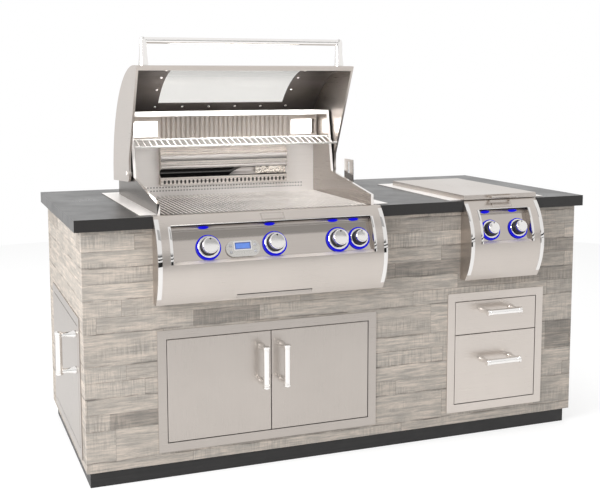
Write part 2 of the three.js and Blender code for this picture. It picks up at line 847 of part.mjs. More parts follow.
function panelSolid(width, slotHalf) {
  const half = width / 2;
  const backY = faceY - seatGap;
  const lipY = panelTopPoint[0] + panelLip;
  const top = counterHeight;
  const outer = outline([
    ...panelOutline(0),
    [backY, panelBottom],
    [backY, slabBottom],
    [lipY, slabBottom],
    [lipY, top]
  ]);
  const innerTop = top - panelSheet;
  const innerBottom = panelBottom + panelSheet;
  const arc = panelOutline(panelSheet).filter(([, z]) => z < innerTop && z > innerBottom);
  const inner = outline([
    [arcDepth(innerTop, panelSheet), innerTop],
    ...arc,
    [arcDepth(innerBottom, panelSheet), innerBottom],
    [cutOverrun, innerBottom],
    [cutOverrun, innerTop]
  ]);
  const whole = solid(across(outer, -half, width));
  const hollow = across(inner, -half + panelSheet, width - 2 * panelSheet);
  const recessHalf = half - recessEndMargin;
  const recess = across(recessOutline(0), -recessHalf, 2 * recessHalf);
  const tub = across(recessOutline(panelSheet), -recessHalf - panelSheet, 2 * (recessHalf + panelSheet));
  const fasciaHole = across(recessFloor(), -recessHalf, 2 * recessHalf);
  const shell = join([cut(whole, [hollow, tub]), common(whole, tub)]);
  const cuts = [recess, fasciaHole];
  if (slotHalf > 0) {
    cuts.push(block(-slotHalf, slotHalf, slabFrontY - panelBulge - panelBottomReach * 2, backY - panelSheet,
      panelBottom + trayRise - seatGap, panelBottom + trayRise + trayHeight + traySlotGap));
  }
  return cut(shell, cuts);
}

// The opening in the tub's floor that the fascia fills
function recessFloor() {
  const run = cutOverrun;
  return outline([
    fromRecess(recessTop, recessTopRun, recessTopDepth - seatGap),
    fromRecess(recessTop, recessTopRun, recessTopDepth + run),
    fromRecess(recessBottom, -recessBottomRun, recessBottomDepth + run),
    fromRecess(recessBottom, -recessBottomRun, recessBottomDepth - seatGap)
  ]);
}

// Pieces on a fascia are made flat, X along it, Y up it from its foot and Z out of it, then leant back
function onFascia(meshes, x) {
  return group(meshes, [x, fasciaFoot[0], fasciaFoot[1]], [Math.PI / 2 - fasciaTilt, 0, 0]);
}

// The fascia carries each knob's light ring in front, and its valve behind with the stem coming through
function fasciaSolid(width, knobXs) {
  const half = width / 2 - recessEndMargin - seatGap;
  const y = fasciaLength * knobLineShare;
  const middle = -fasciaSheet / 2;
  const pieces = [upright(rectangle(-half, seatGap, half, fasciaLength - seatGap), -fasciaSheet, fasciaSheet)];
  for (const [x, share] of knobXs) {
    const outer = ringRadius * share;
    const inner = knobRadius * share + ringGroove / 2;
    const ring = turned([
      [inner, middle], [outer, middle], [outer, ringRise / 2], [outer - ringGroove, ringRise], [inner, ringRise],
      [inner, middle]
    ], turnedSides);
    pieces.push(ring.translate(x, y, 0));
    pieces.push(rod(valveRadius, [x, y, -valveDepth], [x, y, middle], postSides));
    pieces.push(rod(stemRadius, [x, y, middle], [x, y, knobLift + stemReach], postSides));
  }
  return join(pieces);
}

function knobMesh(name, x, share, topShare) {
  const foot = knobLift;
  const radius = knobRadius * share;
  const top = knobTopRadius * topShare;
  const high = foot + knobLength;
  const round = knobPointerHeight;
  const bore = stemRadius + runningGap;
  const profile = [
    [bore, foot], [radius, foot], [radius, foot + knobSkirt], [top, foot + knobSkirt + round],
    [top, high - round], [top - round, high], [0, high],
    [0, foot + stemReach + runningGap], [bore, foot + stemReach + runningGap], [bore, foot]
  ];
  const body = turned(profile, turnedSides);
  const pointer = block(-knobPointerWidth / 2, knobPointerWidth / 2, 0, top - round, high - round,
    high + knobPointerHeight / 2);
  const piece = bufferOf(join([body, pointer])).translate(x, fasciaLength * knobLineShare, 0);
  return node(name, piece, knobChrome());
}

// Each knob's place along the recess, and the shares of the full size that its skirt and its top have
function knobPlaces(shares, width, smallFrom) {
  const half = width / 2 - recessEndMargin;
  return shares.map((share, i) => [share * half, ...(i >= smallFrom ? [smallKnobShare, smallTopShare] : [1, 1])]);
}

// The display's bezel, with its screen set in and two buttons at each end
function displayPlaces() {
  const y = fasciaLength * knobLineShare - displayDrop;
  const x = displayShare * (grillPanelWidth / 2 - recessEndMargin);
  const places = [];
  for (const side of [-1, 1]) {
    for (const rise of [-1, 1]) {
      places.push([x + side * displayWidth * buttonSideShare, y + rise * displayHeight * buttonRiseShare]);
    }
  }
  return { x, y, places };
}

function displaySolid() {
  const { x, y, places } = displayPlaces();
  const half = displayWidth / 2;
  const rise = displayHeight / 2;
  const shape = new THREE.Shape();
  shape.moveTo(x - half + rise, y - rise);
  shape.lineTo(x + half - rise, y - rise);
  shape.absarc(x + half - rise, y, rise, -Math.PI / 2, Math.PI / 2, false);
  shape.lineTo(x - half + rise, y + rise);
  shape.absarc(x - half + rise, y, rise, Math.PI / 2, Math.PI * 3 / 2, false);
  for (const [holeX, holeY] of places) {
    shape.holes.push(circle(holeX, holeY, buttonRadius + runningGap, postSides));
  }
  const bezel = upright(shape, seatGap, displayThickness - seatGap);
  const screenY = y + screenRise;
  const screen = block(x - screenWidth / 2, x + screenWidth / 2, screenY - screenHeight / 2,
    screenY + screenHeight / 2, displayThickness - screenDepth, displayThickness + cutOverrun);
  return cut(bezel, [screen]);
}

function buttonMeshes() {
  const { places } = displayPlaces();
  const foot = seatGap + buttonTravel;
  const high = displayThickness + buttonProud;
  const edge = buttonProud / 2;
  const profile = [
    [0, foot], [buttonRadius, foot], [buttonRadius, high - edge], [buttonRadius - edge, high], [0, high]
  ];
  return places.map(([x, y], i) => node(
    `display_button_${i + 1}`,
    turned(profile, postSides).translate(x, y, 0),
    buttonSteel()
  ));
}

function makeGrillFront() {
  const knobs = knobPlaces(grillKnobShares, grillPanelWidth, grillKnobShares.length - 1);
  const fascia = onFascia([
    node('grill_fascia', fasciaSolid(grillPanelWidth, knobs), brushedSteel()),
    node('display_bezel', displaySolid(), polishedSteel()),
    ...buttonMeshes(),
    ...knobs.map(([x, share, topShare], i) => knobMesh(`grill_knob_${i + 1}`, x, share, topShare))
  ], 0);
  const panel = node('grill_panel', panelSolid(grillPanelWidth, trayWidth / 2 + seatGap), brushedSteel());
  return group([panel, fascia], [grillX, 0, 0]);
}

function makeCookerFront() {
  const knobs = knobPlaces(cookerKnobShares, cookerPanelWidth, 0);
  const fascia = onFascia([
    node('cooker_fascia', fasciaSolid(cookerPanelWidth, knobs), brushedSteel()),
    ...knobs.map(([x, share, topShare], i) => knobMesh(`cooker_knob_${i + 1}`, x, share, topShare))
  ], 0);
  const panel = node('cooker_panel', panelSolid(cookerPanelWidth, 0), brushedSteel());
  return group([panel, fascia], [cookerX, 0, 0]);
}

// Grill body
const railFrontZ = counterHeight + railFrontRise;
const railRearY = slabFrontY + railRearSetback;
const railRearZ = counterHeight + railRearRise;
const railSlope = (railRearZ - railFrontZ) / (railRearY - bodyFrontY);
const backBoxFrontY = slabFrontY + backBoxFrontSetback;
const backBoxTopZ = hingeZ + backBoxRadius * backBoxTopShare;
const backBoxTopAngle = Math.asin(backBoxTopShare);
const backBoxFootAngle = -Math.acos(Math.min(1, (bodyRearY - hingeY) / backBoxRadius));
const stepZ = counterHeight + innerStepRise;
const upperBackY = innerBackY - innerStep;

function backArc(radius) {
  return arcPoints(hingeY, hingeZ, radius, backBoxTopAngle, backBoxFootAngle, smallArcSteps);
}

function bodySideOutline() {
  return outline([
    [bodyFrontY, bodyBottom],
    [bodyFrontY, railFrontZ],
    [railRearY, railRearZ],
    [backBoxFrontY, backBoxTopZ],
    ...backArc(backBoxRadius),
    [bodyRearY, bodyBottom]
  ].reverse());
}

// The sheet at the rear, bent over the arc that the hood clears, and the inner back in front of it
function bodyBackOutline() {
  return outline([
    ...backArc(backBoxRadius),
    [bodyRearY, bodyBottom],
    [bodyRearY - bodySheet, bodyBottom],
    ...backArc(backBoxRadius - bodySheet).reverse()
  ].reverse());
}

function innerBackOutline() {
  const lowTop = backBoxTopZ - topPlate / 2;
  return outline([
    [innerBackY, bodyBottom],
    [innerBackY + bodySheet, bodyBottom],
    [innerBackY + bodySheet, stepZ + bodySheet],
    [upperBackY + bodySheet, stepZ + bodySheet],
    [upperBackY + bodySheet, lowTop],
    [upperBackY, lowTop],
    [upperBackY, stepZ],
    [innerBackY, stepZ]
  ]);
}

function makeFirebox() {
  const inner = bodyInner + bodyWall / 2;
  const pieces = [];
  for (const side of [-1, 1]) {
    const left = side > 0 ? bodyInner : -bodyHalfWidth;
    pieces.push(hingeStub(side));
    pieces.push(across(bodySideOutline(), left, bodyWall));
    const flangeInner = side * (bodyHalfWidth - bodyWall / 2);
    const flangeOuter = side * (bodyHalfWidth + flangeWidth);
    pieces.push(block(Math.min(flangeInner, flangeOuter), Math.max(flangeInner, flangeOuter), bodyFrontY,
      bodyRearY + flangeRearWidth, counterHeight + seatGap, counterHeight + seatGap + flangeSheet));
  }
  pieces.push(block(-inner, inner, bodyRearY - bodySheet, bodyRearY + flangeRearWidth,
    counterHeight + seatGap, counterHeight + seatGap + flangeSheet));
  pieces.push(across(bodyBackOutline(), -inner, 2 * inner));
  pieces.push(across(innerBackOutline(), -inner, 2 * inner));
  pieces.push(block(-inner, inner, frontWallY, innerBackY + bodySheet, bodyBottom, bodyBottom + bodySheet));
  pieces.push(block(-inner, inner, frontWallY, frontWallY + bodySheet, bodyBottom, counterHeight - frontWallTopDrop));
  const topBack = hingeY + backBoxRadius * Math.cos(backBoxTopAngle);
  pieces.push(block(-inner, inner, backBoxFrontY, topBack, backBoxTopZ - topPlate, backBoxTopZ));
  for (const ledgeZ of [grateLedge, tamerLedge, burnerLedge]) {
    pieces.push(block(-inner, inner, frontWallY, frontWallY + bodySheet + ledgeWidth, ledgeZ - bodySheet, ledgeZ));
    pieces.push(block(-inner, inner, innerBackY - ledgeWidth, innerBackY + bodySheet, ledgeZ - bodySheet, ledgeZ));
  }
  for (const side of [-1, 1]) {
    const inside = trayWidth / 2 - trayRailFoot + runningGap;
    const outside = trayWidth / 2 + runningGap + trayRailSheet;
    const foot = panelBottom + trayRise - seatGap;
    const wall = [side * (trayWidth / 2 + runningGap), side * outside];
    const shelf = [side * inside, side * outside];
    const back = frontWallY + trayLength;
    pieces.push(block(Math.min(...wall), Math.max(...wall), frontWallY, back, foot - trayRailSheet,
      bodyBottom + bodySheet));
    pieces.push(block(Math.min(...shelf), Math.max(...shelf), frontWallY, back, foot - trayRailSheet, foot));
  }
  return node('firebox', join(pieces), brushedSteel());
}

const grateTop = counterHeight - grateDrop;
const grateLedge = grateTop - 2 * grateBar;
const tamerLedge = counterHeight - tamerDrop;
const burnerLedge = counterHeight - burnerDrop;
const bayNames = ['left', 'middle', 'right'];
const innerFront = frontWallY + bodySheet;
const innerLength = innerBackY - innerFront;

// Three bays side by side; each bay's middle and half its width
function bays() {
  const width = 2 * bodyInner / bayNames.length;
  return bayNames.map((place, i) => ({ place, x: (i - 1) * width, half: width / 2 }));
}

// Rods welded on cross bars; each rod is six-sided with a flat underneath
function grateSolid(bay) {
  const radius = grateBar / 2;
  const pitch = 2 * (bay.half - radius) / (grateBars - 1);
  const front = innerFront + seatGap;
  const back = innerBackY - seatGap;
  const flat = radius * Math.cos(Math.PI / rodSides);
  const barZ = grateTop - flat;
  const crossHigh = barZ - flat;
  const pieces = [];
  for (let i = 0; i < grateBars; i += 1) {
    const x = bay.x - bay.half + radius + i * pitch;
    pieces.push(rod(radius, [x, front, barZ], [x, back, barZ], rodSides));
  }
  const frontCross = innerFront + ledgeWidth / 2;
  const run = innerBackY - ledgeWidth / 2 - frontCross;
  for (let i = 0; i < grateCrosses; i += 1) {
    const y = frontCross + run * i / (grateCrosses - 1);
    const foot = grateLedge + seatGap;
    pieces.push(block(bay.x - bay.half, bay.x + bay.half, y - radius, y + radius, foot, crossHigh));
  }
  return join(pieces);
}

function tamerSolid(bay) {
  const width = 2 * bay.half;
  const ridge = width / tamerRidges;
  const low = tamerLedge + seatGap;
  const upper = [];
  const lower = [];
  for (let i = 0; i <= tamerRidges; i += 1) {
    const x = bay.x - bay.half + i * ridge;
    lower.push([x, low]);
    upper.push([x, low + tamerSheet]);
    if (i < tamerRidges) {
      lower.push([x + ridge / 2, low + tamerRise]);
      upper.push([x + ridge / 2, low + tamerRise + tamerSheet]);
    }
  }
  return through(outline([...lower, ...upper.reverse()]), innerFront + seatGap, innerLength - 2 * seatGap);
}

// A cast burner shaped like an E, its spine at the rear
function burnerSolid(bay) {
  const left = bay.x - bay.half;
  const right = bay.x + bay.half;
  const front = innerFront + seatGap;
  const back = innerBackY - seatGap;
  const gap = (2 * bay.half - 3 * burnerBar) / 2;
  const shape = outline([
    [left, front],
    [left + burnerBar, front],
    [left + burnerBar, back - burnerBar],
    [left + burnerBar + gap, back - burnerBar],
    [left + burnerBar + gap, front],
    [left + 2 * burnerBar + gap, front],
    [left + 2 * burnerBar + gap, back - burnerBar],
    [right - burnerBar, back - burnerBar],
    [right - burnerBar, front],
    [right, front],
    [right, back],
    [left, back]
  ]);
  return upright(shape, burnerLedge + seatGap, burnerHeight);
}

// The upper back panel: slats in its middle and a lamp housing at each end
function makeVentPanel() {
  const low = stepZ + bodySheet + seatGap;
  const back = upperBackY - seatGap;
  const end = bodyInner - lampGap;
  const ridge = 2 * slatHalfWidth / slatRidges;
  const wave = [[-end, back], [-end, back - slatSheet]];
  for (let i = 0; i < slatRidges; i += 1) {
    const x = -slatHalfWidth + i * ridge;
    wave.push([x, back - slatSheet]);
    wave.push(...slatCrestShares.map((share) => [x + ridge * share, back - slatDepth]));
  }
  wave.push([slatHalfWidth, back - slatSheet], [end, back - slatSheet], [end, back]);
  const pieces = [upright(outline(wave), low, slatHeight)];
  for (const side of [-1, 1]) {
    const near = side * (slatHalfWidth + lampGap);
    const left = Math.min(near, side * end);
    const right = Math.max(near, side * end);
    const housing = block(left, right, back - lampThickness, back - slatSheet / 2, low, low + lampHeight);
    const well = block(left + lampRim, right - lampRim, back - lampThickness - cutOverrun,
      back - lampThickness / 2, low + lampRim, low + lampHeight - lampRim);
    pieces.push(cut(housing, [well]));
  }
  return node('vent_panel', join(pieces), brushedSteel());
}

function makeRearBurner() {
  const foot = counterHeight + rearBurnerFoot;
  const back = innerBackY - seatGap;
  const front = back - rearBurnerDepth;
  const high = foot + rearBurnerHeight;
  const slotLow = foot + rearBurnerSlotLow;
  const slotHigh = foot + rearBurnerSlotHigh;
  const cove = rearBurnerDepth * rearBurnerCoveShare;
  const setBack = rearBurnerDepth * rearBurnerFootShare;
  const shape = outline([
    [back, foot],
    [back, high],
    [front + rearBurnerDepth / 2, high],
    [front, high - rearBurnerDepth],
    [front, slotHigh],
    [front + cove, slotHigh],
    [front + cove, slotLow],
    [front + setBack, slotLow],
    [front + setBack, foot]
  ]);
  return node('rear_burner', across(shape, -rearBurnerHalfWidth, 2 * rearBurnerHalfWidth), brushedSteel());
}

// The warming rack: its rear bar between the walls, its front bar before them, and wires welded to both
function makeWarmingRack() {
  const radius = rackBar / 2;
  const frontY = slabFrontY + rackFrontSetback;
  const frontZ = counterHeight + rackFrontRise;
  const rearY = slabFrontY + rackRearSetback;
  const rearZ = counterHeight + rackRearRise;
  const rearHalf = bodyInner - seatGap;
  const frontHalf = bodyHalfWidth - rackReach;
  const pieces = [
    rod(radius, [-rearHalf, rearY, rearZ], [rearHalf, rearY, rearZ], postSides / 2),
    rod(radius, [-frontHalf, frontY, frontZ], [frontHalf, frontY, frontZ], postSides / 2)
  ];
  const half = rearHalf - rackBar;
  for (let i = 0; i < rackWires; i += 1) {
    const x = -half + 2 * half * i / (rackWires - 1);
    pieces.push(rod(rackWire / 2, [x, frontY, frontZ], [x, rearY, rearZ], wireSides));
  }
  return node('warming_rack', join(pieces), polishedSteel());
}

// A bent bracket outside the right wall, for a spit's motor
function makeSpitBracket() {
  const left = bodyHalfWidth + seatGap;
  const right = bodyHalfWidth + bracketReach;
  const front = slabFrontY + bracketSetback;
  const back = front + bracketDepth;
  const foot = counterHeight + bracketFootRise;
  const high = foot + bracketHeight;
  const middleY = (front + back) / 2;
  const slotZ = foot + bracketHeight * bracketSlotShare;
  const shelf = block(left, right, front, back, foot, foot + bracketSheet);
  const plate = block(right - bracketSheet, right, front, back, foot, high);
  const slot = block(right - bracketSheet - cutOverrun, right + cutOverrun, middleY - bracketSlotWidth / 2,
    middleY + bracketSlotWidth / 2, slotZ - bracketSlotHeight / 2, slotZ + bracketSlotHeight / 2);
  return node('spit_bracket', cut(join([shelf, plate]), [slot]), polishedSteel());
}

// A stub on each side wall that the hood turns on: a spacer, the pin itself and its head
function hingeStub(side) {
  const outside = hoodHalfWidth + seatGap;
  const spacer = hoodHalfWidth - hoodPlate - seatGap;
  const profile = [
    [0, bodyHalfWidth - seatGap], [pinHead, bodyHalfWidth - seatGap], [pinHead, spacer], [pinRadius, spacer],
    [pinRadius, outside], [pinHead, outside], [pinHead, outside + pinHeadLength / 2],
    [pinRadius, outside + pinHeadLength], [0, outside + pinHeadLength]
  ];
  return turned(profile, postSides).rotateY(side * Math.PI / 2).translate(0, hingeY, hingeZ);
}

function makeDripTray() {
  const half = trayWidth / 2;
  const foot = panelBottom + trayRise;
  const high = foot + trayHeight;
  const frontY = arcDepth(foot + trayHeight / 2, 0);
  const back = frontWallY + trayLength - trayRailFoot;
  const outside = block(-half, half, frontY, back, foot, high);
  const inside = block(-half + traySheet, half - traySheet, faceY, back - traySheet, foot + traySheet,
    high + cutOverrun);
  return node('drip_tray', cut(outside, [inside]), brushedSteel());
}

function makeGrillBody() {
  const meshes = [
    makeFirebox(),
    makeVentPanel(),
    makeRearBurner(),
    makeWarmingRack(),
    makeSpitBracket(),
    makeDripTray()
  ];
  for (const { place, x, half } of bays()) {
    const bay = { x, half: half - grateSidePlay };
    meshes.push(node(`cooking_grate_${place}`, grateSolid(bay), polishedSteel()));
    meshes.push(node(`flame_tamer_${place}`, tamerSolid(bay), brushedSteel()));
    meshes.push(node(`main_burner_${place}`, burnerSolid({ x, half: half - burnerSidePlay }), castSteel()));
  }
  return group(meshes, [grillX, 0, 0]);
}

// Hood, drawn shut about its hinge, then turned open; angles run from the front over the top
const hoodCentre = [-hoodCentreAhead, -hoodCentreBelow];

function hoodPoint(radius, angle) {
  return [hoodCentre[0] - radius * Math.cos(angle), hoodCentre[1] + radius * Math.sin(angle)];
}

function hoodArc(radius, from, to) {
  const points = [];
  for (let i = 0; i <= arcSteps; i += 1) {
    points.push(hoodPoint(radius, from + (to - from) * i / arcSteps));
  }
  return points;
}

function seatLine(y) {
  return railFrontZ + (y + hingeY - bodyFrontY) * railSlope + hoodSeat - hingeZ;
}

// The angle at which a circle of the given radius comes the given rise above the hood's bottom edge
function frontAngle(radius, rise) {
  let angle = 0;
  for (let i = 0; i < arcSteps; i += 1) {
    const [y] = hoodPoint(radius, angle);
    angle = Math.asin((seatLine(y) + rise - hoodCentre[1]) / radius);
  }
  return angle;
}

function band(outer, inner, from, to) {
  return outline([...hoodArc(outer, from, to), ...hoodArc(inner, from, to).reverse()]);
}

const hoodLipAngle = hoodEndAngle - hoodSheet / hoodRadius;

function hoodSideOutline() {
  const lobeFront = -2 * hoodLobe;
  const rear = hoodPoint(hoodRadius, hoodEndAngle);
  const rearTurn = Math.atan2(rear[1], rear[0]);
  return outline([
    ...hoodArc(hoodRadius, frontAngle(hoodRadius, 0), hoodEndAngle).reverse(),
    [lobeFront, seatLine(lobeFront)],
    ...arcPoints(0, 0, hoodLobe, -Math.PI * 3 / 4, rearTurn - Math.PI / 2, smallArcSteps)
  ]);
}

// What is hollow between the side plates, behind the rim in front and the lip at the rear
function hoodHollowOutline() {
  const [frontY] = hoodPoint(hoodRadius, frontAngle(hoodRadius, 0));
  const rimY = frontY + hoodRim;
  const beyond = 2 * hoodRadius;
  return outline([
    [rimY, seatLine(rimY) - cutOverrun],
    [rimY, seatLine(rimY) + hoodSheet],
    ...hoodArc(hoodInside, frontAngle(hoodInside, hoodSheet), hoodLipAngle),
    hoodPoint(hoodLipRadius, hoodLipAngle),
    hoodPoint(hoodLipRadius, hoodEndAngle + hoodLobe / hoodRadius),
    [beyond, 0],
    [0, -beyond]
  ]);
}

function makeHoodShell() {
  const half = hoodHalfWidth;
  const inner = half - hoodPlate;
  const hollow = across(hoodHollowOutline(), -inner, 2 * inner);
  const seat = windowOverlap / hoodRadius;
  const windowCut = across(band(hoodRadius + cutOverrun, linerRadius, windowStart - seat, windowEnd + seat),
    -windowHalfWidth - windowOverlap, 2 * (windowHalfWidth + windowOverlap));
  const holes = rod(pinRadius + runningGap, [-half - cutOverrun, 0, 0], [half + cutOverrun, 0, 0], postSides);
  return node('hood_shell', cut(across(hoodSideOutline(), -half, 2 * half), [hollow, windowCut, holes]),
    brushedSteel());
}

function makeHoodLiner() {
  const half = hoodHalfWidth - hoodPlate - seatGap;
  const from = frontAngle(linerInside, hoodSheet + seatGap);
  const to = hoodLipAngle - seatGap / linerInside;
  const sheet = across(band(linerRadius, linerInside, from, to), -half, 2 * half);
  const hole = across(band(linerRadius + cutOverrun, linerInside - cutOverrun, windowStart, windowEnd),
    -windowHalfWidth, 2 * windowHalfWidth);
  return node('hood_liner', cut(sheet, [hole]), darkSteel());
}

// The pane lies in the shell's hole, on the rim of the liner's smaller one
function makeHoodWindow() {
  const inner = linerRadius + seatGap;
  const extra = (windowOverlap - seatGap) / hoodRadius;
  const half = windowHalfWidth + windowOverlap - seatGap;
  const pane = band(inner + windowGlass, inner, windowStart - extra, windowEnd + extra);
  return node('hood_window', across(pane, -half, 2 * half), glassPane());
}

function makeHoodHandle() {
  const post = turned([
    [0, 0], [handlePost, 0], [handlePost * handleFootShare, handlePost / 2], [handlePostNeck, handleReach / 2],
    [handlePostNeck, handleReach], [handlePostNeck * handleTopShare, handleReach + handleTube * handleTopShares[0]],
    [0, handleReach + handleTube * handleTopShares[1]]
  ], barSides);
  const lean = Math.PI / 2 - handleAngle;
  const foot = hoodPoint(hoodRadius + seatGap, handleAngle);
  const grip = hoodPoint(hoodRadius + handleReach, handleAngle);
  const pieces = [-1, 1].map((side) => post.clone()
    .rotateX(lean)
    .translate(side * handleHalfSpan, foot[0], foot[1]));
  pieces.push(rod(handleTube, [-handleHalfSpan, ...grip], [handleHalfSpan, ...grip], barSides));
  const curve = hoodArc(hoodRadius + seatGap, 0, handleAngle * 2);
  const clear = across(outline([...curve, [0, 0]].reverse()), -hoodHalfWidth, 2 * hoodHalfWidth);
  return node('hood_handle', cut(join(pieces), [clear]), polishedSteel());
}

function makeHood() {
  return group([makeHoodShell(), makeHoodLiner(), makeHoodWindow(), makeHoodHandle()],
    [grillX, hingeY, hingeZ], [-hoodOpenAngle, 0, 0]);
}

// Side cooker
const panHalf = cookerPanelWidth / 2 - cookerHalfInset;
const panFrontY = slabFrontY + cookerFrontSetback;
const panRearY = slabFrontY + cookerRearSetback;
const panBottom = counterHeight - cookerDepth;
const cookerGrateTop = counterHeight - cookerGrateDrop;
const cookerLedgeZ = cookerGrateTop - cookerGrateBar - seatGap;
const headNames = ['cooker_burner_front', 'cooker_burner_rear'];
const lidHalf = cookerPanelWidth / 2 - lidSideInset;
const lidFoot = counterHeight + seatGap + flangeSheet + seatGap;
const lidRearY = slabFrontY + lidRearSetback;
const lidFrontY = panelTopPoint[0] - lidFrontReach;
const lidPinY = lidRearY + lidPinSetback;
const lidPinZ = lidFoot + lidThickness / 2;
const lidEarX = lidHalf * lidEarShare;
const lidEye = lidPinRadius * lidEyeShare;

function makeCookerPan() {
  const outer = block(-panHalf, panHalf, panFrontY, panRearY, panBottom, counterHeight + seatGap + flangeSheet);
  const hollow = block(-panHalf + cookerWall, panHalf - cookerWall, panFrontY + cookerWall, panRearY - cookerWall,
    panBottom + cookerWall, counterHeight + cutOverrun);
  const flangeHalf = cookerPanelWidth / 2 + cookerFlange;
  const flangeBox = rectangle(-flangeHalf, bodyFrontY, flangeHalf, panRearY + cookerFlangeRear);
  const flangeHole = rectangle(-panHalf + cookerWall, panFrontY + cookerWall, panHalf - cookerWall,
    panRearY - cookerWall);
  const flange = upright(withHoles(flangeBox, [flangeHole]), counterHeight + seatGap, flangeSheet);
  const pieces = [cut(outer, [hollow]), flange];
  for (const side of [-1, 1]) {
    const wall = side * (panHalf - cookerWall / 2);
    const edge = side * (panHalf - cookerWall - cookerLedge);
    pieces.push(block(Math.min(wall, edge), Math.max(wall, edge), panFrontY + cookerWall / 2,
      panRearY - cookerWall / 2, cookerLedgeZ - cookerWall, cookerLedgeZ));
    const lugIn = side * (lidEarX + lidEarWidth / 2 + seatGap);
    const lugOut = side * (lidEarX + lidEarWidth / 2 + seatGap + lidLugWidth);
    pieces.push(block(Math.min(lugIn, lugOut), Math.max(lugIn, lugOut), lidPinY - lidEye, lidPinY + lidPinSetback,
      counterHeight + seatGap + flangeSheet / 2, lidPinZ + lidEye));
    pieces.push(rod(lidPinRadius, [side * (lidEarX - lidEarWidth / 2), lidPinY, lidPinZ],
      [(lugIn + lugOut) / 2, lidPinY, lidPinZ], postSides));
  }
  return node('cooker_pan', join(pieces), brushedSteel());
}

function makeCookerHeads() {
  const foot = panBottom + cookerWall + seatGap;
  const cap = foot + headHeight;
  const [neckRise, shoulderRise] = headNeckRiseShares;
  const profile = [
    [0, foot], [headRadius * headNeckShare, foot], [headRadius * headNeckShare, foot + headHeight * neckRise],
    [headRadius, foot + headHeight * shoulderRise], [headRadius, cap], [headCapRadius, cap],
    [headCapRadius, cap + headCapHeight * headCapShares.rise],
    [headCapRadius * headCapShares.radius, cap + headCapHeight], [0, cap + headCapHeight]
  ];
  return headShares.map((share, i) => {
    const head = turned(profile, turnedSides).translate(0, panFrontY + (panRearY - panFrontY) * share, 0);
    return node(headNames[i], head, castIron());
  });
}

// One cast grate over both burners, its openings in rows and columns
function makeCookerGrate() {
  const play = cookerWall + grateSidePlay;
  const half = panHalf - play;
  const front = panFrontY + play;
  const back = panRearY - play;
  const bar = cookerGrateBar;
  const low = cookerLedgeZ + seatGap;
  const columnWidth = (2 * half - bar) / cookerGrateColumns;
  const rowDepth = (back - front - bar) / cookerGrateRows;
  const gaps = [];
  for (let column = 0; column < cookerGrateColumns; column += 1) {
    for (let row = 0; row < cookerGrateRows; row += 1) {
      const left = -half + bar + column * columnWidth;
      const near = front + bar + row * rowDepth;
      gaps.push(block(left, left + columnWidth - bar, near, near + rowDepth - bar, low - cutOverrun,
        low + bar + cutOverrun));
    }
  }
  return node('cooker_grate', cut(block(-half, half, front, back, low, low + bar), gaps), castIron());
}

// The lid: a folded tray upside down, with a small bar in front and two ears on its hinge
function makeCookerLid() {
  const high = lidFoot + lidThickness;
  const outer = block(-lidHalf, lidHalf, lidFrontY, lidRearY, lidFoot, high);
  const hollow = block(-lidHalf + lidSheet, lidHalf - lidSheet, lidFrontY + lidSheet, lidRearY - lidSheet,
    lidFoot - cutOverrun, high - lidSheet);
  const barY = lidFrontY - lidBarStandoff;
  const bar = rod(lidBarRadius, [-lidBarHalf, barY, lidPinZ], [lidBarHalf, barY, lidPinZ], postSides);
  const pieces = [cut(outer, [hollow]), bar];
  for (const side of [-1, 1]) {
    const middle = side * lidEarX;
    const post = side * (lidBarHalf - lidBarPost);
    pieces.push(block(post - lidBarPost / 2, post + lidBarPost / 2, barY, lidFrontY + lidSheet / 2,
      lidPinZ - lidBarPost / 2, lidPinZ + lidBarPost / 2));
    const ear = block(middle - lidEarWidth / 2, middle + lidEarWidth / 2, lidRearY - lidSheet,
      lidPinY + lidEye, lidPinZ - lidEye, lidPinZ + lidEye);
    const hole = rod(lidPinRadius + runningGap, [middle - lidEarWidth, lidPinY, lidPinZ],
      [middle + lidEarWidth, lidPinY, lidPinZ], postSides);
    pieces.push(cut(ear, [hole]));
  }
  return node('cooker_lid', join(pieces), brushedSteel());
}

function makeCooker() {
  return group([makeCookerPan(), ...makeCookerHeads(), makeCookerGrate(), makeCookerLid()], [cookerX, 0, 0]);
}

function makeCabinet() {
  const wallLeft = -cabinetHalf;
  const side = sideOpening;
  const margin = sleeveSheet + wallHoleGap;
  const hole = rectangle(
    -sideDoorOffset + side.left - margin,
    side.low - margin,
    -sideDoorOffset + side.right + margin,
    side.high + margin
  );
  return group([
    makePlinth(),
    makeFloor(),
    makeFrontWall(),
    makeBackWall(),
    makeSideWall('cabinet_left', wallLeft, [hole]),
    makeSideWall('cabinet_right', cabinetHalf - wallThickness, []),
    makeInnerFrame(),
    makeCountertop()
  ]);
}

const island = group([
  makeCabinet(),
  makeDoors(),
  makeDrawers(),
  makeSideDoor(),
  makeGrillBody(),
  makeGrillFront(),
  makeHood(),
  makeCooker(),
  makeCookerFront()
]);
island.name = 'outdoor_kitchen_island';

export default island;
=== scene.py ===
"""Outdoor kitchen island: the finishes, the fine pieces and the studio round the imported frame. Metres."""
import json
import math

import bpy
import numpy as np
from mathutils import Matrix, Vector


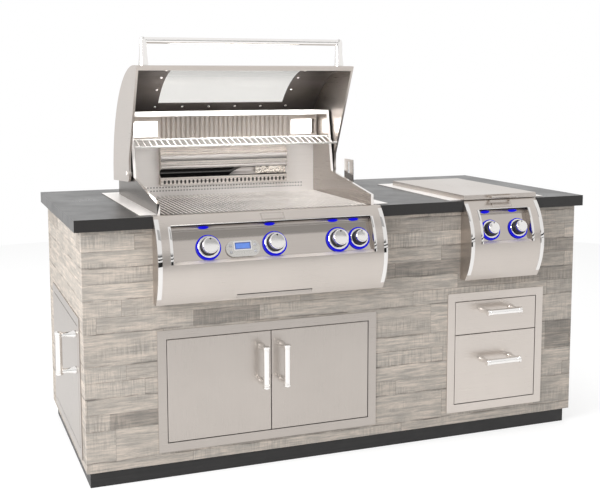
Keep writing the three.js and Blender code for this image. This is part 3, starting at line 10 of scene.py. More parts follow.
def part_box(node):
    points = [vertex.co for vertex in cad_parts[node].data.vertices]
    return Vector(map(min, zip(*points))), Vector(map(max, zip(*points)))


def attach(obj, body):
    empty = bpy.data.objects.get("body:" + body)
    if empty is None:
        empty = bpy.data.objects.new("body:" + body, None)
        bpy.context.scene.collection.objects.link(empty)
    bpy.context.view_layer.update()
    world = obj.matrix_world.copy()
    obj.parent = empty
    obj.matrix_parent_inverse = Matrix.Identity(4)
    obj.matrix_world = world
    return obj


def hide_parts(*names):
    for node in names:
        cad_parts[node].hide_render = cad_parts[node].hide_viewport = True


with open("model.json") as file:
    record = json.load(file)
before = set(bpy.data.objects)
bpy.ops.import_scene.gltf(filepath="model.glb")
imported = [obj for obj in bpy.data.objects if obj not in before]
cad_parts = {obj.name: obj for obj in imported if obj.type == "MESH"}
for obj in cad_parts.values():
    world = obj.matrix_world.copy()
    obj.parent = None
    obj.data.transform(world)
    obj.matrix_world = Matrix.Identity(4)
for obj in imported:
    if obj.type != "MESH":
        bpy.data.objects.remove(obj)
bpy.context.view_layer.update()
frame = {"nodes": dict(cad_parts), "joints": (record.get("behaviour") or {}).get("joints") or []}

bl_info = {
    "name": "Outdoor kitchen island",
    "version": (1, 0, 0),
    "blender": (4, 5, 0),
    "location": "3D View > Sidebar > Island",
    "description": "Finishes, fine pieces and studio of an outdoor kitchen island",
    "category": "Object",
}

SMOOTH_ANGLE = math.radians(32)
LIFT = 0.0003  # of a thin piece over the sheet it lies on
FULL_TURN = 2 * math.pi
GRILL_MIDDLE = -0.304  # along X


# Sizes and colours that a user would change


class IslandColours(bpy.types.PropertyGroup):
    """Base colours of the island's finishes."""

    steel: bpy.props.FloatVectorProperty(
        name="Brushed steel", description="Tone of the brushed sheets", subtype="COLOR", size=3,
        default=(0.60, 0.549, 0.507), min=0, max=1,
    )
    polished: bpy.props.FloatVectorProperty(
        name="Polished steel", description="Tone of bars, rails and trims", subtype="COLOR", size=3,
        default=(0.86, 0.84, 0.82), min=0, max=1,
    )
    # The liner's dark tone is painted shade inside the hood.
    liner: bpy.props.FloatVectorProperty(
        name="Hood liner", description="Tone of the heat-tinted liner", subtype="COLOR", size=3,
        default=(0.085, 0.074, 0.064), min=0, max=1,
    )
    plank: bpy.props.FloatVectorProperty(
        name="Planks", description="Middle tone of the weathered planks", subtype="COLOR", size=3,
        default=(0.5, 0.437, 0.38), min=0, max=1,
    )
    stone: bpy.props.FloatVectorProperty(
        name="Counter", description="Tone of the honed slab", subtype="COLOR", size=3,
        default=(0.018, 0.0165, 0.016), min=0, max=1,
    )
    board: bpy.props.FloatVectorProperty(
        name="Plinth", description="Tone of the black boards", subtype="COLOR", size=3,
        default=(0.012, 0.011, 0.011), min=0, max=1,
    )
    light: bpy.props.FloatVectorProperty(
        name="Ring light", description="Colour of the lit rings", subtype="COLOR", size=3,
        default=(0.004, 0.003, 0.62), min=0, max=1,
    )
    screen: bpy.props.FloatVectorProperty(
        name="Screen", description="Colour of the lit display", subtype="COLOR", size=3,
        default=(0.05, 0.2, 0.72), min=0, max=1,
    )


class IslandSizes(bpy.types.PropertyGroup):
    """Sizes of the pieces that are made here."""

    plank_height: bpy.props.FloatProperty(
        name="Plank height", description="Height of one row of planks", default=0.11, unit="LENGTH")
    plank_length: bpy.props.FloatProperty(
        name="Plank length", description="Middle length of a plank", default=0.56, unit="LENGTH")
    trim_width: bpy.props.FloatProperty(
        name="Trim width", description="Width of the bright edges of the curved panels", default=0.015,
        unit="LENGTH")
    recess_trim: bpy.props.FloatProperty(
        name="Recess trim", description="Width of the bright edges of the panels' recesses", default=0.010,
        unit="LENGTH")
    trim_rise: bpy.props.FloatProperty(
        name="Trim rise", description="How far a bright edge stands off its panel", default=0.0008,
        unit="LENGTH")
    screw_radius: bpy.props.FloatProperty(
        name="Screw radius", description="Radius of the liner's screw heads", default=0.0055, unit="LENGTH")


class IslandStudio(bpy.types.PropertyGroup):
    """The camera, the lamps and the floor."""

    camera_place: bpy.props.FloatVectorProperty(
        name="Camera place", description="Where the camera stands", subtype="TRANSLATION", size=3,
        default=(-1.43678884, -3.68287738, 1.35765725))
    camera_yaw: bpy.props.FloatProperty(
        name="Camera yaw", description="Turn to the right of the Y axis", subtype="ANGLE",
        default=math.radians(20.91283802))
    camera_pitch: bpy.props.FloatProperty(
        name="Camera pitch", description="Tilt below the horizon", subtype="ANGLE",
        default=math.radians(6.67054187))
    camera_roll: bpy.props.FloatProperty(
        name="Camera roll", description="Roll about the view", subtype="ANGLE",
        default=math.radians(-0.10175156))
    camera_lens: bpy.props.FloatProperty(
        name="Lens", description="Focal length in millimetres", default=60.22, min=1)
    camera_shift: bpy.props.FloatProperty(
        name="Shift", description="Vertical shift of the view, in widths of the picture", default=-0.0862)
    ambient: bpy.props.FloatProperty(
        name="Ambient", description="Light of the surroundings on dull surfaces", default=0.55, min=0)
    floor_reach: bpy.props.FloatProperty(
        name="Floor reach", description="Radius of the floor", default=5.0, unit="LENGTH")
    floor_tone: bpy.props.FloatProperty(
        name="Floor tone", description="How pale the floor is", default=0.72, min=0, max=1)


# Node trees


class Finish:
    """One material and the short calls that build its node tree."""

    def __init__(self, name):
        self.material = bpy.data.materials.new(name)
        self.material.use_nodes = True
        self.tree = self.material.node_tree
        self.shader = self.tree.nodes["Principled BSDF"]
        self.place = self.add("ShaderNodeTexCoord").outputs["Object"]

    def add(self, kind, sockets=None, **settings):
        """Adds a node; sockets holds values or other nodes' outputs."""
        node = self.tree.nodes.new(kind)
        for key, value in settings.items():
            setattr(node, key, value)
        for key, value in (sockets or {}).items():
            self.put(node.inputs[key], value)
        return node

    def put(self, socket, value):
        """Sets a socket to a value or links another node's output to it."""
        if isinstance(value, bpy.types.NodeSocket):
            self.tree.links.new(value, socket)
        elif socket.type == "RGBA" and len(value) == 3:
            socket.default_value = (*value, 1)
        else:
            socket.default_value = value

    def set(self, **sockets):
        """Sets the shader's sockets; an underscore stands for a space."""
        for key, value in sockets.items():
            self.put(self.shader.inputs[key.replace("_", " ")], value)

    def math(self, operation, *values):
        """The result of a sum on values or other nodes' outputs."""
        node = self.add("ShaderNodeMath", operation=operation)
        for socket, value in zip(node.inputs, values):
            self.put(socket, value)
        return node.outputs[0]

    def blend(self, share, first, second, mode="MIX"):
        """A mix of two colours, whose sockets have the numbers 6 and 7."""
        node = self.add("ShaderNodeMix", data_type="RGBA", blend_type=mode)
        self.put(node.inputs[0], share)
        self.put(node.inputs[6], first)
        self.put(node.inputs[7], second)
        return node.outputs[2]

    def remap(self, value, low, high, to_low, to_high, smooth=False):
        """A value brought from one range to another, and kept in it."""
        kind = "SMOOTHSTEP" if smooth else "LINEAR"
        sockets = {"Value": value, "From Min": low, "From Max": high, "To Min": to_low, "To Max": to_high}
        return self.add("ShaderNodeMapRange", sockets, interpolation_type=kind).outputs["Result"]

    def stretched(self, scale, place=None):
        """The object's own coordinates, scaled along each axis."""
        sockets = {"Vector": self.place if place is None else place, "Scale": scale}
        return self.add("ShaderNodeMapping", sockets).outputs["Vector"]

    def noise(self, vector, scale=1.0, detail=3.0, roughness=0.55):
        """Soft noise from 0 to 1."""
        sockets = {"Vector": vector, "Scale": scale, "Detail": detail, "Roughness": roughness}
        return self.add("ShaderNodeTexNoise", sockets).outputs["Fac"]

    def bump(self, height, strength, distance):
        """The normal of a surface with a fine relief."""
        sockets = {"Height": height, "Strength": strength, "Distance": distance}
        return self.add("ShaderNodeBump", sockets).outputs["Normal"]

    def xyz(self):
        """The three coordinates of a place on the object."""
        return self.add("ShaderNodeSeparateXYZ", {"Vector": self.place}).outputs


def toned(colour, share):
    """A colour made darker or lighter."""
    return tuple(channel * share for channel in colour)


ACROSS = (5, 560, 560)  # brushed along X
UPRIGHT = (560, 560, 5)  # brushed along Z
ALONG = (560, 5, 560)  # brushed along Y


def brushed(name, tone, grain=ACROSS, rough=(0.24, 0.4), depth=0.05, metallic=1.0):
    """Brushed sheet metal: fine streaks in tone, gloss and relief, under faint cloudy handling marks."""
    f = Finish(name)
    streaks = f.noise(f.stretched(grain), detail=4, roughness=0.7)
    clouds = f.noise(f.place, scale=4.5, detail=3)
    streaked = f.blend(f.remap(streaks, 0.3, 0.7, 0, 1), toned(tone, 0.97), toned(tone, 1.025))
    clouded = f.blend(f.remap(clouds, 0.3, 0.7, 0, 1), toned((1, 1, 1), 0.96), toned((1, 1, 1), 1.02))
    f.set(
        Base_Color=f.blend(1.0, streaked, clouded, "MULTIPLY"),
        Metallic=metallic,
        Roughness=f.remap(f.math("ADD", streaks, f.math("MULTIPLY", clouds, 0.3)), 0.35, 1.0, *rough),
        Anisotropic=0.35,
        Normal=f.bump(streaks, depth, 0.0003),
    )
    return f.material


def polished(name, tone, rough=0.09, metallic=1.0):
    """Bright metal with a faint haze of wiping marks."""
    f = Finish(name)
    haze = f.noise(f.place, scale=22, detail=4)
    marks = f.noise(f.stretched((40, 40, 400)), detail=2)
    f.set(
        Base_Color=f.blend(haze, toned(tone, 0.95), toned(tone, 1.04)),
        Metallic=metallic,
        Roughness=f.remap(haze, 0.3, 0.7, rough * 0.7, rough * 1.5),
        Normal=f.bump(marks, 0.03, 0.0002),
    )
    return f.material


ROW_START = 0.02  # brings the rows' joints to their heights over the floor
# Front boards that are darker than their neighbours: middle and half length, middle and half height
DARK_BOARDS = (
    (-0.792, 0.081, 0.2275, 0.0272),
    (-0.464, 0.12, 0.5575, 0.0272),
    (0.304, 0.159, 0.6675, 0.0272),
    (0.9, 0.068, 0.365, 0.055),
)


def crumpled(name, tone):
    """Thin bright sheet with creases all over."""
    f = Finish(name)
    creases = f.add("ShaderNodeTexVoronoi", {"Vector": f.place, "Scale": 90}).outputs["Distance"]
    dents = f.noise(f.place, scale=60, detail=4)
    f.set(
        Base_Color=f.blend(dents, toned(tone, 0.9), toned(tone, 1.1)),
        Metallic=0.8,
        Roughness=f.remap(dents, 0.3, 0.7, 0.1, 0.2),
        Normal=f.bump(f.math("ADD", creases, dents), 0.8, 0.006),
    )
    return f.material


def chance(f, value):
    """A number from 0 to 1 that is the same wherever the value is."""
    return f.add("ShaderNodeTexWhiteNoise", {"W": value}, noise_dimensions="1D").outputs["Value"]


def plank_rows(f, run, z, sizes):
    """Which rows are split into two narrow ones, and each plank's length, place and own number."""
    row = f.math("FLOOR", f.math("DIVIDE", z, sizes.plank_height))
    half_row = f.math("FLOOR", f.math("DIVIDE", z, sizes.plank_height / 2))
    split = f.math("GREATER_THAN", chance(f, row), 0.5)
    narrow = f.math("ADD", half_row, 40.5)
    lane = f.add("ShaderNodeMix", {0: split, 2: row, 3: narrow}, data_type="FLOAT").outputs[0]
    length = f.remap(chance(f, lane), 0, 1, sizes.plank_length * 0.6, sizes.plank_length * 1.5)
    place = f.math("ADD", f.math("DIVIDE", run, length), f.math("MULTIPLY", chance(f, lane), 7.3))
    pair = f.add("ShaderNodeCombineXYZ", {"X": lane, "Y": f.math("FLOOR", place)}).outputs["Vector"]
    draw = f.add("ShaderNodeTexWhiteNoise", {"Vector": pair}, noise_dimensions="2D").outputs["Value"]
    return split, length, place, draw


def plank_streaks(f, lanes, grain, fine, tone):
    """Grey and brown grain, weathered blotches and marks of the saw."""
    blotch = f.noise(f.stretched((9, 1, 30), lanes), detail=6, roughness=0.7)
    saw = f.noise(f.stretched((210, 1, 14), lanes), detail=3, roughness=0.6)
    sawn = f.remap(f.noise(f.stretched((3.4, 1, 11), lanes), detail=3), 0.46, 0.62, 0, 1)
    sawn_dark = f.math("MULTIPLY", sawn, f.remap(saw, 0.5, 0.68, 0, 0.6))
    sawn_light = f.math("MULTIPLY", sawn, f.remap(saw, 0.48, 0.32, 0, 0.35))
    grey = (tone[0] * 0.93, tone[1], tone[2] * 1.05)
    colour = f.blend(f.remap(grain, 0.36, 0.62, 0, 1), toned(grey, 0.74), toned(tone, 1.27))
    colour = f.blend(f.remap(blotch, 0.42, 0.66, 0, 0.75), colour, toned(grey, 0.72))
    colour = f.blend(f.remap(blotch, 0.46, 0.3, 0, 0.5), colour, toned(tone, 1.3))
    colour = f.blend(f.remap(fine, 0.52, 0.74, 0, 0.5), colour, toned(tone, 0.45))
    colour = f.blend(sawn_dark, colour, toned(grey, 0.56))
    return f.blend(sawn_light, colour, toned(tone, 1.4))


def plank_shade(f, run, z, draw, dark_boards):
    """How light each plank is, with a few dark ones."""
    dark = f.math("MULTIPLY", f.math("GREATER_THAN", draw, 0.93), 0.6)
    for middle_run, half_run, middle_z, half_z in dark_boards:
        in_length = f.math("COMPARE", run, middle_run, half_run)
        in_height = f.math("COMPARE", z, middle_z + ROW_START, half_z)
        dark = f.math("MAXIMUM", dark, f.math("MULTIPLY", in_length, in_height))
    own = f.remap(f.math("FRACT", f.math("MULTIPLY", draw, 7.7)), 0, 1, 0.94, 1.06)
    shade = f.math("MULTIPLY", own, f.remap(dark, 0, 1, 1, 0.66))
    return f.add("ShaderNodeCombineColor", {"Red": shade, "Green": shade, "Blue": shade}).outputs[0]


def plank_joints(f, z, lanes, split, length, place, sizes):
    """Joints between rows and between planks, narrow and not everywhere dark."""
    worn = f.remap(f.noise(f.stretched((9, 1, 3), lanes), detail=4), 0.42, 0.62, 0.0, 0.8)
    row_line = f.remap(f.math("PINGPONG", z, sizes.plank_height / 2), 0.0008, 0.005, 1, 0)
    half_line = f.remap(f.math("PINGPONG", z, sizes.plank_height / 4), 0.0006, 0.003, 0.7, 0)
    edge = f.math("MAXIMUM", row_line, f.math("MULTIPLY", half_line, split))
    end_line = f.remap(f.math("MULTIPLY", f.math("FRACT", place), length), 0.0005, 0.0022, 0.45, 0)
    return f.math("MAXIMUM", f.math("MULTIPLY", edge, worn), end_line)


def planks(name, along, tone, sizes, dark_boards=()):
    """Weathered planks in rows: a tone for each plank, grain along it and saw marks across it."""
    f = Finish(name)
    x, y, z = f.xyz()[:3]
    run = x if along == "x" else y
    z = f.math("ADD", z, ROW_START)
    split, length, place, draw = plank_rows(f, run, z, sizes)

    # Grain runs along the plank, shifted from plank to plank
    slide = f.math("MULTIPLY", draw, 9.0)
    shifted = {"X": f.math("ADD", run, slide), "Y": slide, "Z": z}
    lanes = f.add("ShaderNodeCombineXYZ", shifted).outputs["Vector"]
    grain = f.noise(f.stretched((8, 1, 165), lanes), detail=6, roughness=0.68)
    fine = f.noise(f.stretched((30, 1, 420), lanes), detail=4, roughness=0.7)
    colour = plank_streaks(f, lanes, grain, fine, tone)
    colour = f.blend(1.0, colour, plank_shade(f, run, z, draw, dark_boards), "MULTIPLY")
    joint = plank_joints(f, z, lanes, split, length, place, sizes)
    streaks = f.math("ADD", f.math("MULTIPLY", grain, 0.7), f.math("MULTIPLY", fine, 0.4))
    f.set(
        Base_Color=f.blend(joint, colour, toned(tone, 0.2)),
        Roughness=f.remap(grain, 0.3, 0.7, 0.72, 0.88),
        Specular_IOR_Level=0.3,
        Normal=f.bump(f.math("SUBTRACT", streaks, joint), 0.5, 0.0012),
    )
    return f.material


def stone(name, tone):
    """Honed dark slab: fine speckle, soft clouds and a low sheen."""
    f = Finish(name)
    speckle = f.noise(f.place, scale=420, detail=3)
    clouds = f.noise(f.place, scale=7, detail=5)
    pits = f.add("ShaderNodeTexVoronoi", {"Vector": f.place, "Scale": 260}).outputs["Distance"]
    colour = f.blend(f.remap(speckle, 0.4, 0.65, 0, 1), toned(tone, 0.75), toned(tone, 1.5))
    colour = f.blend(f.remap(clouds, 0.4, 0.7, 0, 0.5), colour, toned(tone, 0.8))
    f.set(
        Base_Color=colour,
        Roughness=f.remap(clouds, 0.3, 0.7, 0.27, 0.37),
        Normal=f.bump(f.math("ADD", speckle, pits), 0.06, 0.0003),
    )
    return f.material


def boards(name, tone, rough):
    """Painted or plain board with a faint grain along X."""
    f = Finish(name)
    streaks = f.noise(f.stretched((3, 90, 90)), detail=5, roughness=0.65)
    dust = f.noise(f.place, scale=30, detail=4)
    colour = f.blend(f.remap(streaks, 0.35, 0.7, 0, 1), toned(tone, 0.8), toned(tone, 1.35))
    f.set(
        Base_Color=f.blend(f.remap(dust, 0.6, 0.9, 0, 0.4), colour, toned(tone, 2.0)),
        Roughness=f.remap(dust, 0.3, 0.7, rough - 0.08, rough + 0.12),
        Normal=f.bump(streaks, 0.25, 0.0006),
    )
    return f.material


def galvanised(name):
    """Zinc-coated angle with its spangle."""
    f = Finish(name)
    cells = f.add("ShaderNodeTexVoronoi", {"Vector": f.place, "Scale": 90}).outputs["Color"]
    tone = f.blend(0.22, (0.56, 0.57, 0.58), cells)
    dull = f.remap(f.noise(f.place, scale=60), 0.3, 0.7, 0.35, 0.55)
    f.set(Base_Color=tone, Metallic=0.9, Roughness=dull)
    return f.material


def shade_toned(name, tone):
    """Steel toned dark as painted shade: brown-grey clouds over faint brushing."""
    f = Finish(name)
    streaks = f.noise(f.stretched(ACROSS), detail=4, roughness=0.7)
    clouds = f.noise(f.stretched((5, 8, 8)), detail=4)
    bluish = (tone[0], tone[1], tone[2] * 1.1)
    colour = f.blend(f.remap(clouds, 0.35, 0.7, 0, 1), toned(tone, 0.8), toned(bluish, 1.25))
    f.set(
        Base_Color=colour,
        Metallic=0.75,
        Roughness=f.remap(streaks, 0.3, 0.7, 0.38, 0.56),
        Normal=f.bump(streaks, 0.12, 0.0004),
    )
    return f.material


def cast(name, tone, rough):
    """Cast or enamelled metal with an orange-peel skin."""
    f = Finish(name)
    skin = f.noise(f.place, scale=260, detail=3)
    wear = f.noise(f.place, scale=35, detail=4)
    f.set(
        Base_Color=f.blend(f.remap(wear, 0.4, 0.75, 0, 1), tone, toned(tone, 1.7)),
        Metallic=0.6,
        Roughness=f.remap(wear, 0.3, 0.7, rough - 0.12, rough + 0.1),
        Normal=f.bump(skin, 0.35, 0.0006),
    )
    return f.material


def pane(name):
    """Clear heat-proof glass with a warm cast."""
    f = Finish(name)
    smear = f.noise(f.place, scale=14, detail=4)
    f.set(
        Base_Color=f.blend(smear, (0.86, 0.85, 0.82), (0.9, 0.885, 0.86)),
        Roughness=f.remap(smear, 0.4, 0.8, 0.0, 0.05),
        Transmission_Weight=1.0,
        IOR=1.45,
    )
    return f.material


def glowing(name, colour, strength, body=(0.1, 0.1, 0.12)):
    """A lit surface with a faint mottle in its brightness."""
    f = Finish(name)
    mottle = f.noise(f.place, scale=120, detail=2)
    f.set(
        Base_Color=body,
        Roughness=0.4,
        Specular_IOR_Level=0.15,
        Emission_Color=colour,
        Emission_Strength=f.remap(mottle, 0.3, 0.7, strength * 0.92, strength * 1.08),
    )
    return f.material


def plastic(name, tone, rough=0.35):
    """Moulded plastic with a fine texture."""
    f = Finish(name)
    skin = f.noise(f.place, scale=900, detail=2)
    f.set(
        Base_Color=f.blend(skin, toned(tone, 0.92), toned(tone, 1.05)),
        Roughness=rough,
        Normal=f.bump(skin, 0.15, 0.0002),
    )
    return f.material


def sheets(steel):
    """Makers of the brushed sheets, by finish; each is a tone of the one steel colour."""
    return {
        "steel_across": lambda: brushed("brushed_steel_across", toned(steel, 0.96)),
        "steel_along": lambda: brushed("brushed_steel_along", steel, ALONG),
        "wall_steel": lambda: brushed("wall_steel", toned(steel, 0.8), ALONG, (0.2, 0.32), 0.02, 0.9),
        # Painted shade: a dark copy of the steel for the firebox's outer faces.
        "outer_shade_steel": lambda: brushed("outer_shade_steel", toned(steel, 0.33), ALONG),
        "slat_steel": lambda: brushed("slat_steel", toned(steel, 1.15), ACROSS, (0.28, 0.36), 0.004, 0.3),
        # Painted shade: a dark copy of the slat steel for the set-back faces of the vent's folds.
        "slat_groove_shade": lambda: brushed("slat_groove_shade", toned(steel, 0.42), ACROSS, (0.2, 0.3), 0.004, 0.6),
        # Painted shade: a dark copy of the steel for the rolled corner at a recess' top.
        "cove_steel": lambda: brushed("cove_steel", toned(steel, 0.62), ACROSS, (0.3, 0.42), 0.01),
        "hood_steel": lambda: brushed("hood_steel", toned(steel, 0.94), ALONG),
        "door_steel": lambda: brushed("door_steel", toned(steel, 0.84), UPRIGHT),
        "end_steel": lambda: brushed("end_steel", toned(steel, 0.73), UPRIGHT),
        "frame_steel": lambda: brushed("frame_steel", toned(steel, 0.8), ACROSS),
        "drawer_steel": lambda: brushed("drawer_steel", toned(steel, 1.06), ACROSS),
        # Painted light: a lighter, duller copy of the steel that lifts the shade on the recesses' sills.
        "sill_painted_light": lambda: brushed("sill_painted_light", toned(steel, 1.15), ACROSS, (0.5, 0.6), 0.02, 0.5),
        "burner_steel": lambda: brushed("burner_steel", toned(steel, 1.22), ACROSS, (0.24, 0.32), 0.003,
                                        0.6),
        "fascia_steel": lambda: brushed("fascia_steel", toned(steel, 0.83), ACROSS, (0.015, 0.035), 0.002),
        # Painted shade: a darker, smoother copy of the steel inside the recesses; the blank plates' rims
        # use it too.
        "recess_steel": lambda: brushed("recess_steel", toned(steel, 0.8), ACROSS, (0.1, 0.16), 0.01),
    }


def bright_metals(bright):
    """Makers of the polished metals, by finish."""
    return {
        "steel_polished": lambda: polished("polished_steel", bright),
        "steel_mirror": lambda: polished("mirror_steel", toned(bright, 0.9), 0.04),
        "dark_mirror": lambda: polished("dark_mirror", toned(bright, 0.14), 0.05),
        "knob_cap": lambda: polished("knob_cap", toned(bright, 0.95), 0.12),
        "bezel": lambda: polished("bezel", (0.62, 0.6, 0.57), 0.16, 0.85),
        "bright_rod": lambda: polished("bright_rod", (0.78, 0.74, 0.71), 0.16, 0.6),
        "bright_wire": lambda: polished("bright_wire", (0.95, 0.93, 0.9), 0.2, 0.55),
        "grate_rod": lambda: polished("grate_rod", (0.95, 0.92, 0.89), 0.13, 0.72),
        "steel_inside": lambda: brushed("inner_steel", (0.95, 0.91, 0.88), ACROSS, (0.28, 0.36), 0.004,
                                        0.25),
        "foil": lambda: crumpled("shield_foil", (0.86, 0.8, 0.72)),
    }


def dull_metals(liner):
    """Makers of the dark steels toned as painted shade and of the cast and zinc-coated metals, by finish.
    """
    return {
        # Painted shade: the liner's dark tone stands for the shade inside the hood.
        "liner": lambda: shade_toned("shade_toned_steel", liner),
        # Painted shade under the grates, for the firebox's well and the flame tamers.
        "under_grate_shade": lambda: shade_toned("under_grate_shade_steel", (0.09, 0.08, 0.07)),
        "cast_steel": lambda: cast("cast_steel", (0.3, 0.28, 0.26), 0.5),
        "cast_iron": lambda: cast("cast_iron", (0.03, 0.03, 0.03), 0.6),
        "galvanised": lambda: galvanised("galvanised_angle"),
    }


def cabinet_finishes(colours, sizes):
    """Makers of the finishes of the cabinet and its slab, by finish."""
    plank = tuple(colours.plank)
    return {
        "planks_front": lambda: planks("planks_front", "x", plank, sizes, DARK_BOARDS),
        "planks_end": lambda: planks("planks_end", "y", plank, sizes),
        "stone": lambda: stone("honed_stone", tuple(colours.stone)),
        "black_board": lambda: boards("black_board", tuple(colours.board), 0.42),
        "pale_board": lambda: boards("pale_board", (0.42, 0.36, 0.29), 0.7),
    }


def lit_and_moulded(light, screen):
    """Makers of the lit surfaces, the glass, the plastics and the painted shade of openings, by finish."""
    return {
        "ring_light": lambda: glowing("ring_light", light, 0.95, (0.0, 0.0, 0.03)),
        "cove_light": lambda: glowing("cove_light", light, 1.1, (0.0, 0.0, 0.03)),
        "screen": lambda: glowing("lit_screen", screen, 0.9),
        "screen_edge": lambda: glowing("screen_edge", (0.02, 0.07, 0.3), 0.9),
        "lamp": lambda: glowing("lamp_glow", (1.0, 0.97, 0.93), 5.0, (0.9, 0.9, 0.9)),
        "glass": lambda: pane("window_glass"),
        "button": lambda: plastic("button_plastic", (0.42, 0.42, 0.44)),
        "black": lambda: plastic("black_skirt", (0.012, 0.012, 0.013), 0.25),
        # Painted shade: a dark plastic laid where slots, holes and creases show only shade.
        "shade": lambda: plastic("opening_shade", (0.02, 0.018, 0.016), 0.6),
    }


FINISHES = {}


def finish(name):
    """The material of a finish, made on first use from the scene's colours."""
    if name not in FINISHES:
        colours = bpy.context.scene.island_colours
        makers = {
            **sheets(tuple(colours.steel)),
            **bright_metals(tuple(colours.polished)),
            **dull_metals(tuple(colours.liner)),
            **cabinet_finishes(colours, bpy.context.scene.island_sizes),
            **lit_and_moulded(tuple(colours.light), tuple(colours.screen)),
        }
        FINISHES[name] = makers[name]()
    return FINISHES[name]


# Meshes


def soften(node, limit=SMOOTH_ANGLE):
    """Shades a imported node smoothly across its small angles, without moving a vertex."""
    mesh = node.data
    corners = len(mesh.loops)
    vertex_of = np.empty(corners, np.int32)
    mesh.loops.foreach_get("vertex_index", vertex_of)
    places = np.empty(len(mesh.vertices) * 3, np.float32)
    mesh.vertices.foreach_get("co", places)
    places = places.reshape(-1, 3)[vertex_of]
    normals = np.empty(len(mesh.polygons) * 3, np.float32)
    mesh.polygons.foreach_get("normal", normals)
    areas = np.empty(len(mesh.polygons), np.float32)
    mesh.polygons.foreach_get("area", areas)
    sides = np.empty(len(mesh.polygons), np.int32)
    mesh.polygons.foreach_get("loop_total", sides)
    face_of = np.repeat(np.arange(len(mesh.polygons)), sides)
    normals = normals.reshape(-1, 3)[face_of]
    weights = areas[face_of] + 1e-12
    _, meeting = np.unique(np.round(places / 1e-5).astype(np.int64), axis=0, return_inverse=True)
    meeting = meeting.ravel()
    order = np.argsort(meeting, kind="stable")
    bounds = np.flatnonzero(np.diff(meeting[order])) + 1
    smooth = normals.copy()
    for members in np.split(order, bounds):
        facing = normals[members] @ normals[members].T > math.cos(limit)
        mixed = (facing * weights[members]) @ normals[members]
        smooth[members] = mixed / np.linalg.norm(mixed, axis=1, keepdims=True)
    mesh.shade_smooth()
    mesh.normals_split_custom_set(smooth.tolist())


def dress(names, *materials, limit=SMOOTH_ANGLE):
    """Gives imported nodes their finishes, in slots, and smooths their round stretches."""
    for name in names:
        node = frame["nodes"][name]
        node.data.materials.clear()
        for material in materials:
            node.data.materials.append(finish(material))
        soften(node, limit)


def paint(name, index, test):
    """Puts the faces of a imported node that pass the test, by middle and normal, in a material slot."""
    for face in frame["nodes"][name].data.polygons:
        if test(face.center, face.normal):
            face.material_index = index


def piece(name, points, faces, material, body, slot=None, smooth=SMOOTH_ANGLE, slots=None):
    """A new piece in the frame's own coordinates, riding a body; slots gives each face's finish."""
    mesh = bpy.data.meshes.new(name)
    mesh.from_pydata([tuple(p) for p in points], [], faces)
    for one in [material] if isinstance(material, str) else material:
        mesh.materials.append(finish(one))
    if slots is not None:
        mesh.polygons.foreach_set("material_index", slots)
    mesh.validate()
    mesh.shade_smooth()
    mesh.set_sharp_from_angle(angle=smooth)
    made = bpy.data.objects.new(name, mesh)
    bpy.context.scene.collection.objects.link(made)
    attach(made, body)
    return made


def lathed(profile, sides, turn, looped=False):
    """Points and faces of a turned body; the profile lists radius and height, axis to axis or looped."""
    points = []
    rings = []
    for radius, height in profile:
        first = len(points)
        if radius < 1e-6:
            points.append(Vector((0, 0, height)))
            rings.append([first] * sides)
            continue
        for i in range(sides):
            angle = FULL_TURN * i / sides
            points.append(Vector((radius * math.cos(angle), radius * math.sin(angle), height)))
        rings.append([first + i for i in range(sides)])
    faces = []
    pairs = [*zip(rings, rings[1:])] + ([(rings[-1], rings[0])] if looped else [])
    for low, high in pairs:
        for i in range(sides):
            j = (i + 1) % sides
            face = [low[i], low[j], high[j], high[i]]
            face = [v for k, v in enumerate(face) if v not in face[:k]]
            if len(face) > 2:
                faces.append(face)
    return [turn @ p for p in points], faces


def swept(path, radius, sides):
    """Points and faces of a round wire along a list of points, closed at its ends."""
    path = [Vector(p) for p in path]
    points = []
    faces = []
    side = None
    for i, place in enumerate(path):
        ahead = (path[min(i + 1, len(path) - 1)] - path[max(i - 1, 0)]).normalized()
        if side is None:
            side = ahead.orthogonal().normalized()
        side = (side - ahead * side.dot(ahead)).normalized()
        up = ahead.cross(side)
        for k in range(sides):
            angle = FULL_TURN * k / sides
            points.append(place + (side * math.cos(angle) + up * math.sin(angle)) * radius)
    for i in range(len(path) - 1):
        for k in range(sides):
            j = (k + 1) % sides
            faces.append([i * sides + k, i * sides + j, (i + 1) * sides + j, (i + 1) * sides + k])
    faces.append([*range(sides)][::-1])
    faces.append([(len(path) - 1) * sides + k for k in range(sides)])
    return points, faces


def drawn_out(profile, low, high):
    """Points and faces of a closed (y, z) outline drawn out along X: the outline's faces, then the ends."""
    count = len(profile)
    points = [Vector((x, y, z)) for x in (low, high) for y, z in profile]
    faces = [[i, (i + 1) % count, (i + 1) % count + count, i + count] for i in range(count)]
    faces.append([*range(count)][::-1])
    faces.append([*range(count, 2 * count)])
    return points, faces


def bend(centre, radius, start, end, steps):
    """Points of an arc in (y, z); the angles are in degrees from the Y axis."""
    turns = [math.radians(start + (end - start) * i / steps) for i in range(steps + 1)]
    return [(centre[0] + radius * math.cos(t), centre[1] + radius * math.sin(t)) for t in turns]


